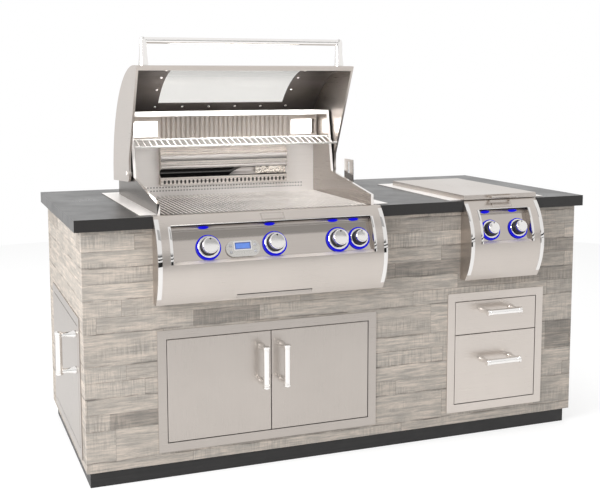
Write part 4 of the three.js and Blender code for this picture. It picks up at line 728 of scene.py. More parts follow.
def tablets(places, half, depth, corner=3):
    """Flat rounded tablets that face the front: their middles, half sizes in X and Z, and thickness."""
    outline = []
    radius = min(half)
    for quarter, (sx, sz) in enumerate(((1, 1), (-1, 1), (-1, -1), (1, -1))):
        for i in range(corner + 1):
            turn = math.pi / 2 * (quarter + i / corner)
            outline.append((sx * (half[0] - radius) + radius * math.cos(turn),
                            sz * (half[1] - radius) + radius * math.sin(turn)))
    parts = []
    count = len(outline)
    rims = [(1.0, 0.0), (1.0, depth * 0.6), (0.86, depth)]
    for x, y, z in places:
        points = [Vector((x + a * share, y - out, z + b * share))
                  for share, out in rims for a, b in outline]
        faces = []
        for start in (0, count):
            for i in range(count):
                j = (i + 1) % count
                faces.append([start + i, start + j, start + count + j, start + count + i])
        faces.append([*range(count)])
        faces.append([2 * count + i for i in reversed(range(count))])
        parts.append((points, faces))
    return gathered(parts)


def gathered(parts):
    """Several sets of points and faces as one."""
    points = []
    faces = []
    for more_points, more_faces in parts:
        faces.extend([[v + len(points) for v in face] for face in more_faces])
        points.extend(more_points)
    return points, faces


def joint_named(name):
    """A joint of the frame."""
    return next(j for j in frame["joints"] if j["name"] == name)


def middle(node):
    """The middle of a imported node's box."""
    low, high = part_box(node)
    return (low + high) / 2


def upright(axis):
    """The way up across an axis."""
    return (Vector((0, 0, 1)) - axis * axis.z).normalized()


def standing(place, axis, across=Vector((1, 0, 0))):
    """A matrix whose Z is the axis and whose X lies across it, at a place."""
    up = Vector(axis).normalized()
    side = (across - up * across.dot(up)).normalized()
    ahead = up.cross(side)
    turn = Matrix((side, ahead, up)).transposed().to_4x4()
    return Matrix.Translation(place) @ turn


# Cabinet


class ISLAND_OT_cabinet(bpy.types.Operator):
    """Finishes the plinth, the clad walls, the inner frame and the counter"""

    bl_idname = "island.cabinet"
    bl_label = "Cabinet and counter"

    def execute(self, context):
        dress(["plinth"], "black_board")
        dress(["cabinet_floor"], "pale_board")
        dress(["cabinet_front", "cabinet_back"], "planks_front")
        dress(["cabinet_left", "cabinet_right"], "planks_end")
        dress(["inner_frame"], "galvanised")
        dress(["countertop"], "stone")
        return {"FINISHED"}


# Doors, drawers and their bar handles

BAR_SIDES = 32
POST_FOOT = 0.013  # radius of a handle's post at its foot, and its middle's distance from the bar's end
POST_NECK = 0.0088  # radius of the post under the bar


def bar_profile(half, radius, cap):
    """The outline of a handle's bar: a plain rod with a stepped collar and a domed cap at each end."""
    collar = half - 0.0085
    groove = radius * 1.02
    rim = cap * 0.94
    end = [
        (0, half), (cap * 0.5, half - 0.0004), (cap * 0.86, half - 0.0014), (cap, half - 0.0036),
        (cap, collar), (groove, collar - 0.0012), (groove, collar - 0.003),
        (rim, collar - 0.004), (rim, collar - 0.0072), (radius, collar - 0.0088),
    ]
    return [(r, -z) for r, z in end] + [(r, z) for r, z in reversed(end)]


def post_profile(foot, neck, length):
    """A handle's post, flared at its foot."""
    rim = 0.003
    profile = [(0, 0), (foot, 0), (foot, rim)]
    for i in range(1, 9):
        share = i / 8
        profile.append((neck + (foot - neck) * (1 - share) ** 2.2, rim + (length * 0.6) * share))
    profile.append((neck, length))
    profile.append((0, length))
    return profile


def fine_handle(node, body, outward):
    """A turned bar on two flared posts in the place of an imported handle."""
    low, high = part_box(node)
    size = high - low
    out = Vector(outward)
    depth = abs(size.dot(out))
    spans = [(size[i], i) for i in range(3) if abs(out[i]) < 0.5]
    length, run_axis = max(spans)
    cap = min(spans)[0] / 2
    radius = cap * 11 / 13.3  # the rod against its caps
    run = Vector([1.0 if i == run_axis else 0.0 for i in range(3)])
    centre = (low + high) / 2
    foot_plane = centre - out * depth / 2
    bar_centre = foot_plane + out * (depth - cap)
    side = run.cross(out)
    parts = [lathed(bar_profile(length / 2, radius, cap), BAR_SIDES, standing(bar_centre, run, side))]
    reach = depth - cap
    for end in (-1, 1):
        place = foot_plane + run * end * (length / 2 - POST_FOOT)
        post = post_profile(POST_FOOT, POST_NECK, reach)
        parts.append(lathed(post, BAR_SIDES, standing(place, out, run)))
    made = piece(f"{node}_fine", *gathered(parts), "steel_polished", body, "polished")
    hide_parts(node)


class ISLAND_OT_openings(bpy.types.Operator):
    """Finishes the doors, the drawers and their frames, and turns their handles"""

    bl_idname = "island.openings"
    bl_label = "Doors and drawers"

    def execute(self, context):
        dress(["door_frame"], "frame_steel")
        dress(["drawer_frame", "drawer_upper", "drawer_lower"], "drawer_steel")
        dress(["door_left", "door_right"], "door_steel")
        dress(["side_door", "side_door_frame"], "end_steel")
        front = (0, -1, 0)
        fine_handle("door_left_handle", "left_door", front)
        fine_handle("door_right_handle", "right_door", front)
        fine_handle("drawer_upper_handle", "upper_drawer", front)
        fine_handle("drawer_lower_handle", "lower_drawer", front)
        fine_handle("side_door_handle", "end_door", (-1, 0, 0))
        return {"FINISHED"}


# Grill body


FIREBOX_SIDES = (-0.7, 0.092)  # outer faces of its two sheets along X
WELL_HALF = 0.3835  # half the inner width of the firebox
LENS_SIZE = (0.092, 0.058)
LENS_RIM = 0.008  # under each lens


class ISLAND_OT_grill_body(bpy.types.Operator):
    """Finishes the firebox and what it holds"""

    bl_idname = "island.grill_body"
    bl_label = "Grill body"

    def execute(self, context):
        bays = ("left", "middle", "right")
        rod_angle = math.radians(65)
        self.firebox()
        dress(["vent_panel"], "slat_steel", "slat_groove_shade")
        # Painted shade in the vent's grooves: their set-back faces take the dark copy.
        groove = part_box("vent_panel")[0].y + 0.006
        paint("vent_panel", 1, lambda c, n: n.y < -0.9 and abs(c.y - groove) < 0.0005)
        dress(["warming_rack"], "bright_wire", limit=rod_angle)
        dress(["spit_bracket"], "steel_polished")
        dress(["drip_tray"], "steel_across")
        dress([f"cooking_grate_{bay}" for bay in bays], "grate_rod", limit=rod_angle)
        # The flame tamers take the dark finish: painted shade under the grates.
        dress([f"flame_tamer_{bay}" for bay in bays], "under_grate_shade")
        dress([f"main_burner_{bay}" for bay in bays], "cast_steel")
        self.rear_burner()
        self.lamps()
        return {"FINISHED"}

    def firebox(self):
        """Plain walls, outer faces darkened as painted shade, a bright front edge and painted shade under
        the grates.
        """
        dress(["firebox"], "steel_inside", "steel_polished", "under_grate_shade", "wall_steel", "outer_shade_steel")
        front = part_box("firebox")[0].y + 0.002
        low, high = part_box("cooking_grate_left")
        left, right = FIREBOX_SIDES

        def outer_face(c, n):
            return n.x < -0.9 and abs(c.x - left) < 0.002 or n.x > 0.9 and abs(c.x - right) < 0.002

        def well(c, n):
            across = abs(c.x - GRILL_MIDDLE) < WELL_HALF
            return c.z < low.z - 0.004 and across and low.y - 0.004 < c.y < high.y + 0.004

        paint("firebox", 3, lambda c, n: abs(n.x) > 0.9)
        # Painted shade on the outer faces of the firebox's side sheets.
        paint("firebox", 4, outer_face)
        paint("firebox", 1, lambda c, n: abs(n.x) < 0.2 and c.y < front and c.z > 0.9)
        paint("firebox", 1, lambda c, n: abs(n.x) < 0.2 and n.z > 0.5 and n.y < -0.05 and c.z > 0.95)
        # Painted shade: the well under the grates takes the dark finish.
        paint("firebox", 2, well)

    def rear_burner(self):
        """The burner's rolled housing with its dark mouth, thin lines of painted shade in its creases, and
        what shines in it.
        """
        low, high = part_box("rear_burner")
        front, back, foot, top = low.y, high.y, low.z, high.z
        brow = bend((front + 0.0105, top - 0.0395), 0.0104, 110, 250, 8)
        lip = bend((front + 0.0056, top - 0.0755), 0.0055, 90, 270, 6)
        mouth_top, mouth_low = top - 0.083, top - 0.117
        trough = [(front + 0.0305 * math.sin(math.pi * i / 10) ** 0.6 + 0.0002,
                   mouth_top + (mouth_low - mouth_top) * i / 10) for i in range(1, 10)]
        cap = [(back, foot), (back, top), (front + 0.0205, top), (front + 0.0035, top - 0.026)]
        runs = [
            ("burner_steel", cap),
            ("bright_rod", brow),
            # A thin line of painted shade in the crease under the brow.
            ("shade", [(front + 0.0065, top - 0.0505), (front + 0.0065, top - 0.0525)]),
            ("burner_steel", [(front + 0.0008, top - 0.0532), (front + 0.0008, top - 0.0692)]),
            ("bright_rod", lip),
            # Painted shade at the top of the mouth.
            ("shade", [(front + 0.006, mouth_top)]),
            ("dark_mirror", trough),
            ("burner_steel", [(front + 0.007, mouth_low), (front + 0.007, foot)]),
        ]
        names = list(dict.fromkeys(material for material, _ in runs))
        profile = [point for _, run in runs for point in run]
        slots = [names.index(material) for material, run in runs for _ in run] + [0, 0]
        made = piece("rear_burner_fine", *drawn_out(profile, low.x, high.x), names, "island", slots=slots,
                     smooth=math.radians(40))
        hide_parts("rear_burner")
        self.reflector(trough)
        shield = pillow((-0.178, mouth_low + 0.005), (-0.052, mouth_top - 0.001), front + 0.004, 0.004)
        piece("burner_shield", *shield, "foil", "island")
        self.holes(low, high)

    def reflector(self, trough):
        """A bright sheet in the right part of the burner's mouth, with a slanted left end."""
        shell = []
        count = len(trough)
        for end, slant in ((-0.236, 0.05), (-0.05, 0.0)):
            for lift in (-0.0023, -0.0008):
                for i, (y, z) in enumerate(trough):
                    shell.append(Vector((end - slant * i / (count - 1), y + lift, z)))
        front_left, back_left, front_right, back_right = range(0, 4 * count, count)
        faces = []
        for i in range(count - 1):
            j = i + 1
            faces += [
                [front_left + i, front_right + i, front_right + j, front_left + j],
                [back_left + i, back_left + j, back_right + j, back_right + i],
                [front_left + i, front_left + j, back_left + j, back_left + i],
                [front_right + i, back_right + i, back_right + j, front_right + j],
            ]
        last = count - 1
        faces += [
            [front_left, back_left, back_right, front_right],
            [front_left + last, front_right + last, back_right + last, back_left + last],
        ]
        piece("burner_reflector", shell, faces, "bright_rod", "island", smooth=math.radians(60))

    def holes(self, low, high):
        """Dark tablets of painted shade for the slots under the burner's mouth and the rows of holes in the
        wall behind it.
        """
        count = 31
        pitch = (high.x - low.x - 0.012) / count
        y, z = low.y + 0.007, low.z + 0.0125
        places = [(low.x + 0.006 + pitch * (i + 0.5), y, z) for i in range(count)]
        piece("burner_slot_shade", *tablets(places, (0.0042, 0.0075), 0.0004), "shade", "island")
        left, wall, foot = low.x - 0.105, high.y + 0.0003, low.z - 0.024
        places = [(left + 0.012 * i, wall, foot + 0.013 * row) for i in range(59) for row in range(2)]
        piece("wall_hole_shade", *tablets(places, (0.0026, 0.0026), 0.0002, 2), "shade", "island")

    def lamps(self):
        """A lit lens in each lamp housing."""
        low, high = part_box("vent_panel")
        width, height = LENS_SIZE
        foot = low.z + LENS_RIM
        for name, left in (("lamp_lens_left", low.x + 0.0165), ("lamp_lens_right", high.x - 0.1115)):
            lens = pillow((left, foot), (left + width, foot + height), low.y + 0.002, 0.0035)
            piece(name, *lens, "lamp", "island")


def pillow(low, high, y, bulge):
    """A lens that faces the front, with its edges behind its bulged middle and a flat back."""
    steps = 8
    edge_depth = 0.004
    back_depth = 0.002
    points = []
    faces = []
    for i in range(steps + 1):
        for j in range(steps + 1):
            u = i / steps
            v = j / steps
            swell = (1 - (2 * u - 1) ** 4) * (1 - (2 * v - 1) ** 4)
            across = low[0] + (high[0] - low[0]) * u
            points.append(Vector((across, y + edge_depth - bulge * swell, low[1] + (high[1] - low[1]) * v)))
    for i in range(steps):
        for j in range(steps):
            a = i * (steps + 1) + j
            faces.append([a, a + steps + 1, a + steps + 2, a + 1])
    back = len(points)
    corners = [0, steps * (steps + 1), steps * (steps + 1) + steps, steps]
    points.extend(points[c] + Vector((0, back_depth, 0)) for c in corners)
    faces.append([back, back + 3, back + 2, back + 1])
    rims = [[i * (steps + 1) for i in range(steps + 1)],
            [steps * (steps + 1) + j for j in range(steps + 1)],
            [i * (steps + 1) + steps for i in range(steps, -1, -1)],
            [j for j in range(steps, -1, -1)]]
    for side, rim in enumerate(rims):
        faces.append(rim[::-1] + [back + side, back + (side + 1) % 4])
    return points, faces


# Front panels, knobs, rings and display


PANEL_FACE = -0.44  # the curved panels' fronts are all nearer than this in Y
BLANK_PLATES = {"grill": (-0.305, 0.086), "cooker": (0.605, 0.088)}  # middle and width along X
PLATE_HEIGHTS = (0.9085, 0.887)
RECESS_HEIGHTS = (0.8805, 0.7585)  # top and foot of the bright edges beside a recess
RECESS_EDGE = (-0.46807, 0.88199)  # front edge of a recess' ceiling in Y and Z
COVE_RADIUS = 0.0145
RING_FOOT = -0.006  # along a knob's axis


def knobs_of(kind=""):
    """The knobs of one panel, or of both."""
    return [j["child"] for j in frame["joints"] if j["child"].startswith(kind) and "_knob_" in j["child"]]


class ISLAND_OT_fronts(bpy.types.Operator):
    """Finishes the curved panels and makes the knobs, lit rings, trims and display"""

    bl_idname = "island.fronts"
    bl_label = "Control panels"

    def execute(self, context):
        sizes = context.scene.island_sizes
        for kind in ("grill", "cooker"):
            panel = f"{kind}_panel"
            fascia = f"{kind}_fascia"
            dress([panel], "steel_across", "recess_steel", "sill_painted_light")
            dress([fascia], "fascia_steel", "steel_mirror")
            self.panel_faces(panel, fascia)
            self.trims(kind, sizes)
            self.cove(kind)
            self.blank_plate(kind)
        for knob in knobs_of():
            self.ring(knob)
            self.knob(knob)
        self.display()
        return {"FINISHED"}

    def panel_faces(self, panel, fascia):
        """The recess inside a panel is smoother than its curved front and darker, as painted shade; its
        sill is duller and lighter, as painted light.
        """
        low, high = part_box(fascia)
        edge = 0.002

        def beside(c):
            return low.x - edge < c.x < high.x + edge

        def inside(c, n):
            level = low.z - 0.03 < c.z < high.z + 0.03
            return beside(c) and level and c.y < high.y + 0.05 and (abs(n.x) > 0.9 or n.z < -0.5)

        def sill(c, n):
            return beside(c) and abs(c.z - low.z) < 0.012 and n.z > 0.3 and c.y > low.y - 0.014

        # Painted shade: the recess' sides and ceiling take the darker steel.
        paint(panel, 1, inside)
        # Painted light on the sill under the fascia.
        paint(panel, 2, sill)

    def arc(self, panel):
        """The panel's front line from its top to its foot, as (y, z), with the way out of the metal."""
        node = frame["nodes"][panel]
        low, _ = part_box(panel)
        ends = [v.co for v in node.data.vertices if abs(v.co.x - low.x) < 1e-5 and v.co.y < PANEL_FACE]
        line = sorted({(round(p.y, 5), round(p.z, 5)) for p in ends}, key=lambda p: -p[1])
        line = [p for p in line if p[1] > low.z + 1e-4]
        outs = []
        for i in range(len(line)):
            y0, z0 = line[max(i - 1, 0)]
            y1, z1 = line[min(i + 1, len(line) - 1)]
            outs.append(Vector((0, z1 - z0, -(y1 - y0))).normalized())
        return line, outs

    def stretch(self, panel, high, low):
        """The part of a panel's front line between two heights."""
        line, outs = self.arc(panel)
        heights = [-z for _, z in line]
        steps = 14
        places = []
        ways = []
        for i in range(steps + 1):
            z = high + (low - high) * i / steps
            y = float(np.interp(-z, heights, [p[0] for p in line]))
            out = [float(np.interp(-z, heights, [o[k] for o in outs])) for k in range(3)]
            places.append((y, z))
            ways.append(Vector(out).normalized())
        return places, ways

    def strip(self, name, line, outs, left, width, rise, material):
        """A thin strip that follows a panel's front, its outer face a little narrower than its foot."""
        points = []
        for (y, z), out in zip(line, outs):
            for lift, inset in ((LIFT, 0), (rise, 0.15)):
                for x in (left + width * inset, left + width * (1 - inset)):
                    points.append(Vector((x, y, z)) + out * lift)
        faces = []
        for i in range(len(line) - 1):
            a = 4 * i
            b = a + 4
            faces += [[a + 2, a + 3, b + 3, b + 2], [a + 1, a, b, b + 1], [a, a + 2, b + 2, b],
                      [a + 3, a + 1, b + 1, b + 3]]
        last = 4 * (len(line) - 1)
        faces += [[1, 3, 2, 0], [last, last + 2, last + 3, last + 1]]
        piece(name, points, faces, material, "island", "polished")

    def trims(self, kind, sizes):
        """Bright edges at the ends of a curved panel and of its recess, and along the recess' top."""
        panel = f"{kind}_panel"
        low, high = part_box(panel)
        line, outs = self.arc(panel)
        width = sizes.trim_width
        rise = sizes.trim_rise
        for name, left in (("left", low.x + 0.0005), ("right", high.x - width - 0.0005)):
            self.strip(f"{panel}_trim_{name}", line[1:-1], outs[1:-1], left, width, rise, "steel_mirror")
        low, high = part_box(f"{kind}_fascia")
        places, ways = self.stretch(panel, *RECESS_HEIGHTS)
        width = sizes.recess_trim
        for name, left in (("left", low.x - width - 0.0004), ("right", high.x + 0.0004)):
            self.strip(f"{kind}_recess_trim_{name}", places, ways, left, width, rise, "steel_mirror")
        y, z = RECESS_EDGE
        rod = [(x, y + 0.0006, z + 0.0008) for x in (low.x, high.x)]
        piece(f"{kind}_recess_edge", *swept(rod, 0.0013, 8), "steel_polished", "island", "polished")

    def cove(self, kind):
        """The rolled corner between the ceiling of a recess and its fascia, in a darker steel of painted
        shade, lit over each knob.
        """
        low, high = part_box(f"{kind}_fascia")
        axis = Vector(joint_named(f"{kind}_knob_1_turn")["axis"])
        up = upright(axis)
        points = [v.co for v in frame["nodes"][f"{kind}_fascia"].data.vertices if v.co.x < low.x + 1e-5]
        reach = max(p.dot(axis) for p in points)
        face = [p for p in points if p.dot(axis) > reach - 1e-5]
        corner = max(face, key=lambda p: p.z) + axis * LIFT
        line = [corner]
        for i in range(11):
            turn = math.pi / 2 * i / 10
            out = axis * COVE_RADIUS * (1 - math.sin(turn))
            line.append(corner + out - up * COVE_RADIUS * (1 - math.cos(turn)))
        profile = [(p.y, p.z) for p in line]
        made = drawn_out(profile, low.x + 0.0004, high.x - 0.0004)
        piece(f"{kind}_recess_cove", *made, "cove_steel", "island", "polished", smooth=math.radians(40))
        for knob in knobs_of(kind):
            self.cove_light(knob, corner, axis, up)

    def cove_light(self, knob, corner, axis, up):
        """The oval light that a knob's ring throws on the rolled corner."""
        middle_x = joint_named(f"{knob}_turn")["pos_m"][0] - 0.012
        columns, rows = 9, 5
        count = 2 * rows
        points = []
        for i in range(columns):
            share = 2 * i / (columns - 1) - 1
            half = math.radians(25) * math.sqrt(max(1 - share ** 2, 0.04))
            for lift in (0.0001, 0.0009):
                for k in range(rows):
                    turn = math.radians(42) + half * (2 * k / (rows - 1) - 1)
                    out = axis * (1 - math.sin(turn)) - up * (1 - math.cos(turn))
                    way = axis * math.sin(turn) - up * math.cos(turn)
                    place = Vector((middle_x + 0.019 * share, corner.y, corner.z))
                    points.append(place + out * COVE_RADIUS + way * lift)
        faces = []
        for a in range(0, count * (columns - 1), count):
            b = a + count
            for k in range(rows - 1):
                faces.append([a + k, a + k + 1, b + k + 1, b + k])
                faces.append([a + rows + k, b + rows + k, b + rows + k + 1, a + rows + k + 1])
            faces.append([a, b, b + rows, a + rows])
            faces.append([a + rows - 1, a + count - 1, b + count - 1, b + rows - 1])
        rim = [*range(rows), *reversed(range(rows, count))]
        faces.append(rim[::-1])
        faces.append([count * (columns - 1) + v for v in rim])
        piece(f"{knob}_cove_light", points, faces, "cove_light", "island", "fascia")

    def blank_plate(self, kind):
        """A small bare plate on the panel over its recess."""
        x, width = BLANK_PLATES[kind]
        places, ways = self.stretch(f"{kind}_panel", *PLATE_HEIGHTS)
        self.strip(f"{kind}_plate_rim", places, ways, x - width / 2, width, 0.0006, "recess_steel")
        inner = width - 0.006
        self.strip(f"{kind}_plate", places[2:-2], ways[2:-2], x - inner / 2, inner, 0.0010, "steel_across")

    def ring(self, knob):
        """The bright ring round a knob, with the lit band round its wall, a little low and to the left."""
        fascia = knob.split("_knob_")[0] + "_fascia"
        turn = joint_named(f"{knob}_turn")
        axis = Vector(turn["axis"])
        centre = Vector(turn["pos_m"])
        low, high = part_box(knob)
        reach = (high.x - low.x) / 2 + 0.0135

        def apart(c):
            away = c - centre
            return away - axis * away.dot(axis), away.dot(axis)

        def on_ring(c):
            flat, rise = apart(c)
            return flat.length < reach and rise > RING_FOOT + 0.0001

        def bright(c, n):
            return on_ring(c) and (n.dot(axis) > 0.5 or n.dot(apart(c)[0]) > 0)

        paint(fascia, 1, bright)
        vertices = frame["nodes"][fascia].data.vertices
        outer = max(apart(v.co)[0].length for v in vertices if on_ring(v.co))
        inner = outer - 0.004
        top = RING_FOOT + 0.0074
        band = [(inner, RING_FOOT + LIFT), (outer + 0.0014, RING_FOOT + LIFT),
                (outer + 0.0016, RING_FOOT + 0.0066), (outer + 0.0008, top), (inner, top)]
        shift = Vector((-0.0018, 0, 0)) - upright(axis) * 0.0024
        made = lathed(band, 64, standing(centre + shift, axis), looped=True)
        piece(f"{knob}_light", *made, "ring_light", "island", "fascia")

    def knob(self, name):
        """A turned knob: a black waist, a domed bright cap and a small dark mark."""
        joint = joint_named(f"{name}_turn")
        axis = Vector(joint["axis"])
        centre = Vector(joint["pos_m"])
        low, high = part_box(name)
        radius = (high.x - low.x) / 2
        away = [v.co - centre for v in frame["nodes"][name].data.vertices]
        foot = min(a.dot(axis) for a in away)
        waist_top = foot + 0.0146
        crown = foot + 0.0287
        shoulder = crown - 0.0042
        cap = max((a - axis * a.dot(axis)).length for a in away if a.dot(axis) > foot + 0.018)
        waist = [(0, foot), (radius, foot), (radius, foot + 0.0108), (radius - 0.0006, foot + 0.0122),
                 (cap * 0.985, waist_top), (0, waist_top)]
        dome = [(0, foot + 0.0148), (cap - 0.0006, foot + 0.0148), (cap, foot + 0.0155), (cap, shoulder)]
        for i in range(1, 7):
            angle = math.pi / 2 * i / 6
            dome.append((cap - 0.004 * (1 - math.cos(angle)), shoulder + 0.004 * math.sin(angle)))
        dome += [(cap * 0.7, crown + 0.0002), (cap * 0.35, crown + 0.0005), (0, crown + 0.0006)]
        spot = cap * 0.11
        dot = [(0, crown - 0.001), (spot, crown - 0.001), (spot, crown + 0.0007), (0, crown + 0.0010)]
        turn = standing(centre, axis)
        mark = turn @ Matrix.Translation((0, cap * 0.74, 0))
        waist_piece = piece(f"{name}_waist", *lathed(waist, 48, turn), "black", name, "knob")
        piece(f"{name}_cap", *lathed(dome, 48, turn), "knob_cap", name, "knob")
        piece(f"{name}_mark", *lathed(dot, 14, mark), "black", name, "knob")
        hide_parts(name)

    def display(self):
        """The bezel, its lit screen and the four buttons."""
        dress(["display_bezel"], "bezel", "screen")
        dress([f"display_button_{i}" for i in range(1, 5)], "button")
        axis = Vector(joint_named("grill_knob_1_turn")["axis"])
        centre = middle("display_bezel")
        mesh = frame["nodes"]["display_bezel"].data
        top = max(v.co.dot(axis) for v in mesh.vertices)

        def window(c, n):
            return n.dot(axis) > 0.9 and c.dot(axis) < top - 0.0012 and abs(c.x - centre.x) < 0.03

        paint("display_bezel", 1, window)
        faces = [face for face in mesh.polygons if face.material_index == 1]
        lit = [mesh.vertices[v].co for face in faces for v in face.vertices]
        inward, outward = (-0.0035, 0.0), (0.0, 0.0035)
        foot = top - 0.001
        self.screen_rim("screen_edge", "screen_edge", lit, axis, inward, (foot, top - 0.0011))
        self.screen_rim("screen_frame", "steel_mirror", lit, axis, outward, (foot, top + 0.0007))

    def screen_rim(self, name, material, lit, axis, edges, levels):
        """A thin rim round the lit window, between two distances from it and two levels along the axis."""
        up = upright(axis)
        x0, x1 = min(p.x for p in lit), max(p.x for p in lit)
        h0, h1 = min(p.dot(up) for p in lit), max(p.dot(up) for p in lit)
        inner, outer = edges
        first, second = levels
        points = []
        for grow, rise in ((inner, first), (inner, second), (outer, second), (outer, first)):
            left, right, low, high = x0 - grow, x1 + grow, h0 - grow, h1 + grow
            for x, h in ((left, low), (right, low), (right, high), (left, high)):
                points.append(Vector((x, 0, 0)) + up * h + axis * rise)
        faces = []
        for k in range(4):
            this, after = 4 * k, 4 * ((k + 1) % 4)
            faces += [[this + i, this + (i + 1) % 4, after + (i + 1) % 4, after + i] for i in range(4)]
        piece(name, points, faces, material, "island", "fascia")


# Hood


LINER_CENTRE = (-0.160, 0.986)  # middle of the liner's arc in Y and Z
LINER_NEAR = 0.36  # a reach from that middle that is still inside the liner
# Each screw's distance from the hood's middle and its turn round the arc in degrees
SCREWS = [(x, 67.7) for x in (-0.265, -0.157, -0.05, 0.058, 0.166, 0.273)]
SCREWS += [(side * 0.272, turn) for side in (-1, 1) for turn in (54.5, 42.0, 30.8)]


class ISLAND_OT_hood(bpy.types.Operator):
    """Finishes the open hood and makes the screws of its liner"""

    bl_idname = "island.hood"
    bl_label = "Hood"

    def execute(self, context):
        dress(["hood_shell"], "hood_steel")
        # Painted shade: the liner takes a dark tone for the shade inside the hood.
        dress(["hood_liner"], "liner")
        dress(["hood_window"], "glass")
        dress(["hood_handle"], "steel_polished", limit=math.radians(50))
        self.screws(context.scene.island_sizes.screw_radius)
        return {"FINISHED"}

    def screws(self, radius):
        """The heads of the screws that hold the liner, on the inside of the hood."""
        centre = Vector((joint_named("hood_hinge")["pos_m"][0], *LINER_CENTRE))
        head = [(0, -0.001), (radius, -0.001), (radius, 0.0003),
                (radius * 0.8, 0.0014), (radius * 0.35, 0.002), (0, 0.0021)]
        parts = []
        depsgraph = bpy.context.evaluated_depsgraph_get()
        liner = frame["nodes"]["hood_liner"]
        for dx, turn in SCREWS:
            angle = math.radians(turn + 72)
            ahead = Vector((0, -math.cos(angle), math.sin(angle)))
            start = centre + Vector((dx, 0, 0)) + ahead * LINER_NEAR
            found, place, _, _ = liner.ray_cast(start, ahead, distance=0.1, depsgraph=depsgraph)
            if not found:
                raise RuntimeError(f"no liner behind a screw at {dx} and {turn}")
            parts.append(lathed(head, 12, standing(place, -ahead)))
        piece("liner_screws", *gathered(parts), "steel_polished", "hood", "polished")


# Side cooker


class ISLAND_OT_cooker(bpy.types.Operator):
    """Finishes the side cooker"""

    bl_idname = "island.cooker"
    bl_label = "Side cooker"

    def execute(self, context):
        dress(["cooker_lid"], "steel_along")
        dress(["cooker_pan"], "steel_inside")
        dress(["cooker_grate", "cooker_burner_front", "cooker_burner_rear"], "cast_iron")
        return {"FINISHED"}


# Studio


# Name, place, aim, size, watts, and whether metal mirrors it
LAMPS = (
    ("key_lamp", (-4.5, -1.8, 2.5), (0, 0, 0.6), (2.6, 2.6), 225, True),
    ("top_lamp", (0.2, 0.2, 4.2), (0, 0, 0.6), (3.0, 3.0), 70, False),
    ("fill_lamp", (1.3, -4.4, 2.2), (0.3, 0, 0.4), (2.0, 2.0), 24, False),
    ("grill_light", (GRILL_MIDDLE, -0.03, 1.3), (GRILL_MIDDLE, 0.09, 1.0), (0.7, 0.08), 3.5, False),
)
# Start and end in degrees to the right of the front, and foot and top
CURTAINS = ((-60, 28, 0.01, 2.6), (28, 62, 0.6, 1.1))
CURTAIN_GAPS = (0.78, 1.2)  # middle heights of the lighter bands
GAP_HALF = 0.12
CARD_X = (0.0, 2.9)
CARD_Y = -4.5
CARD_Z = (3.765, 6.5)


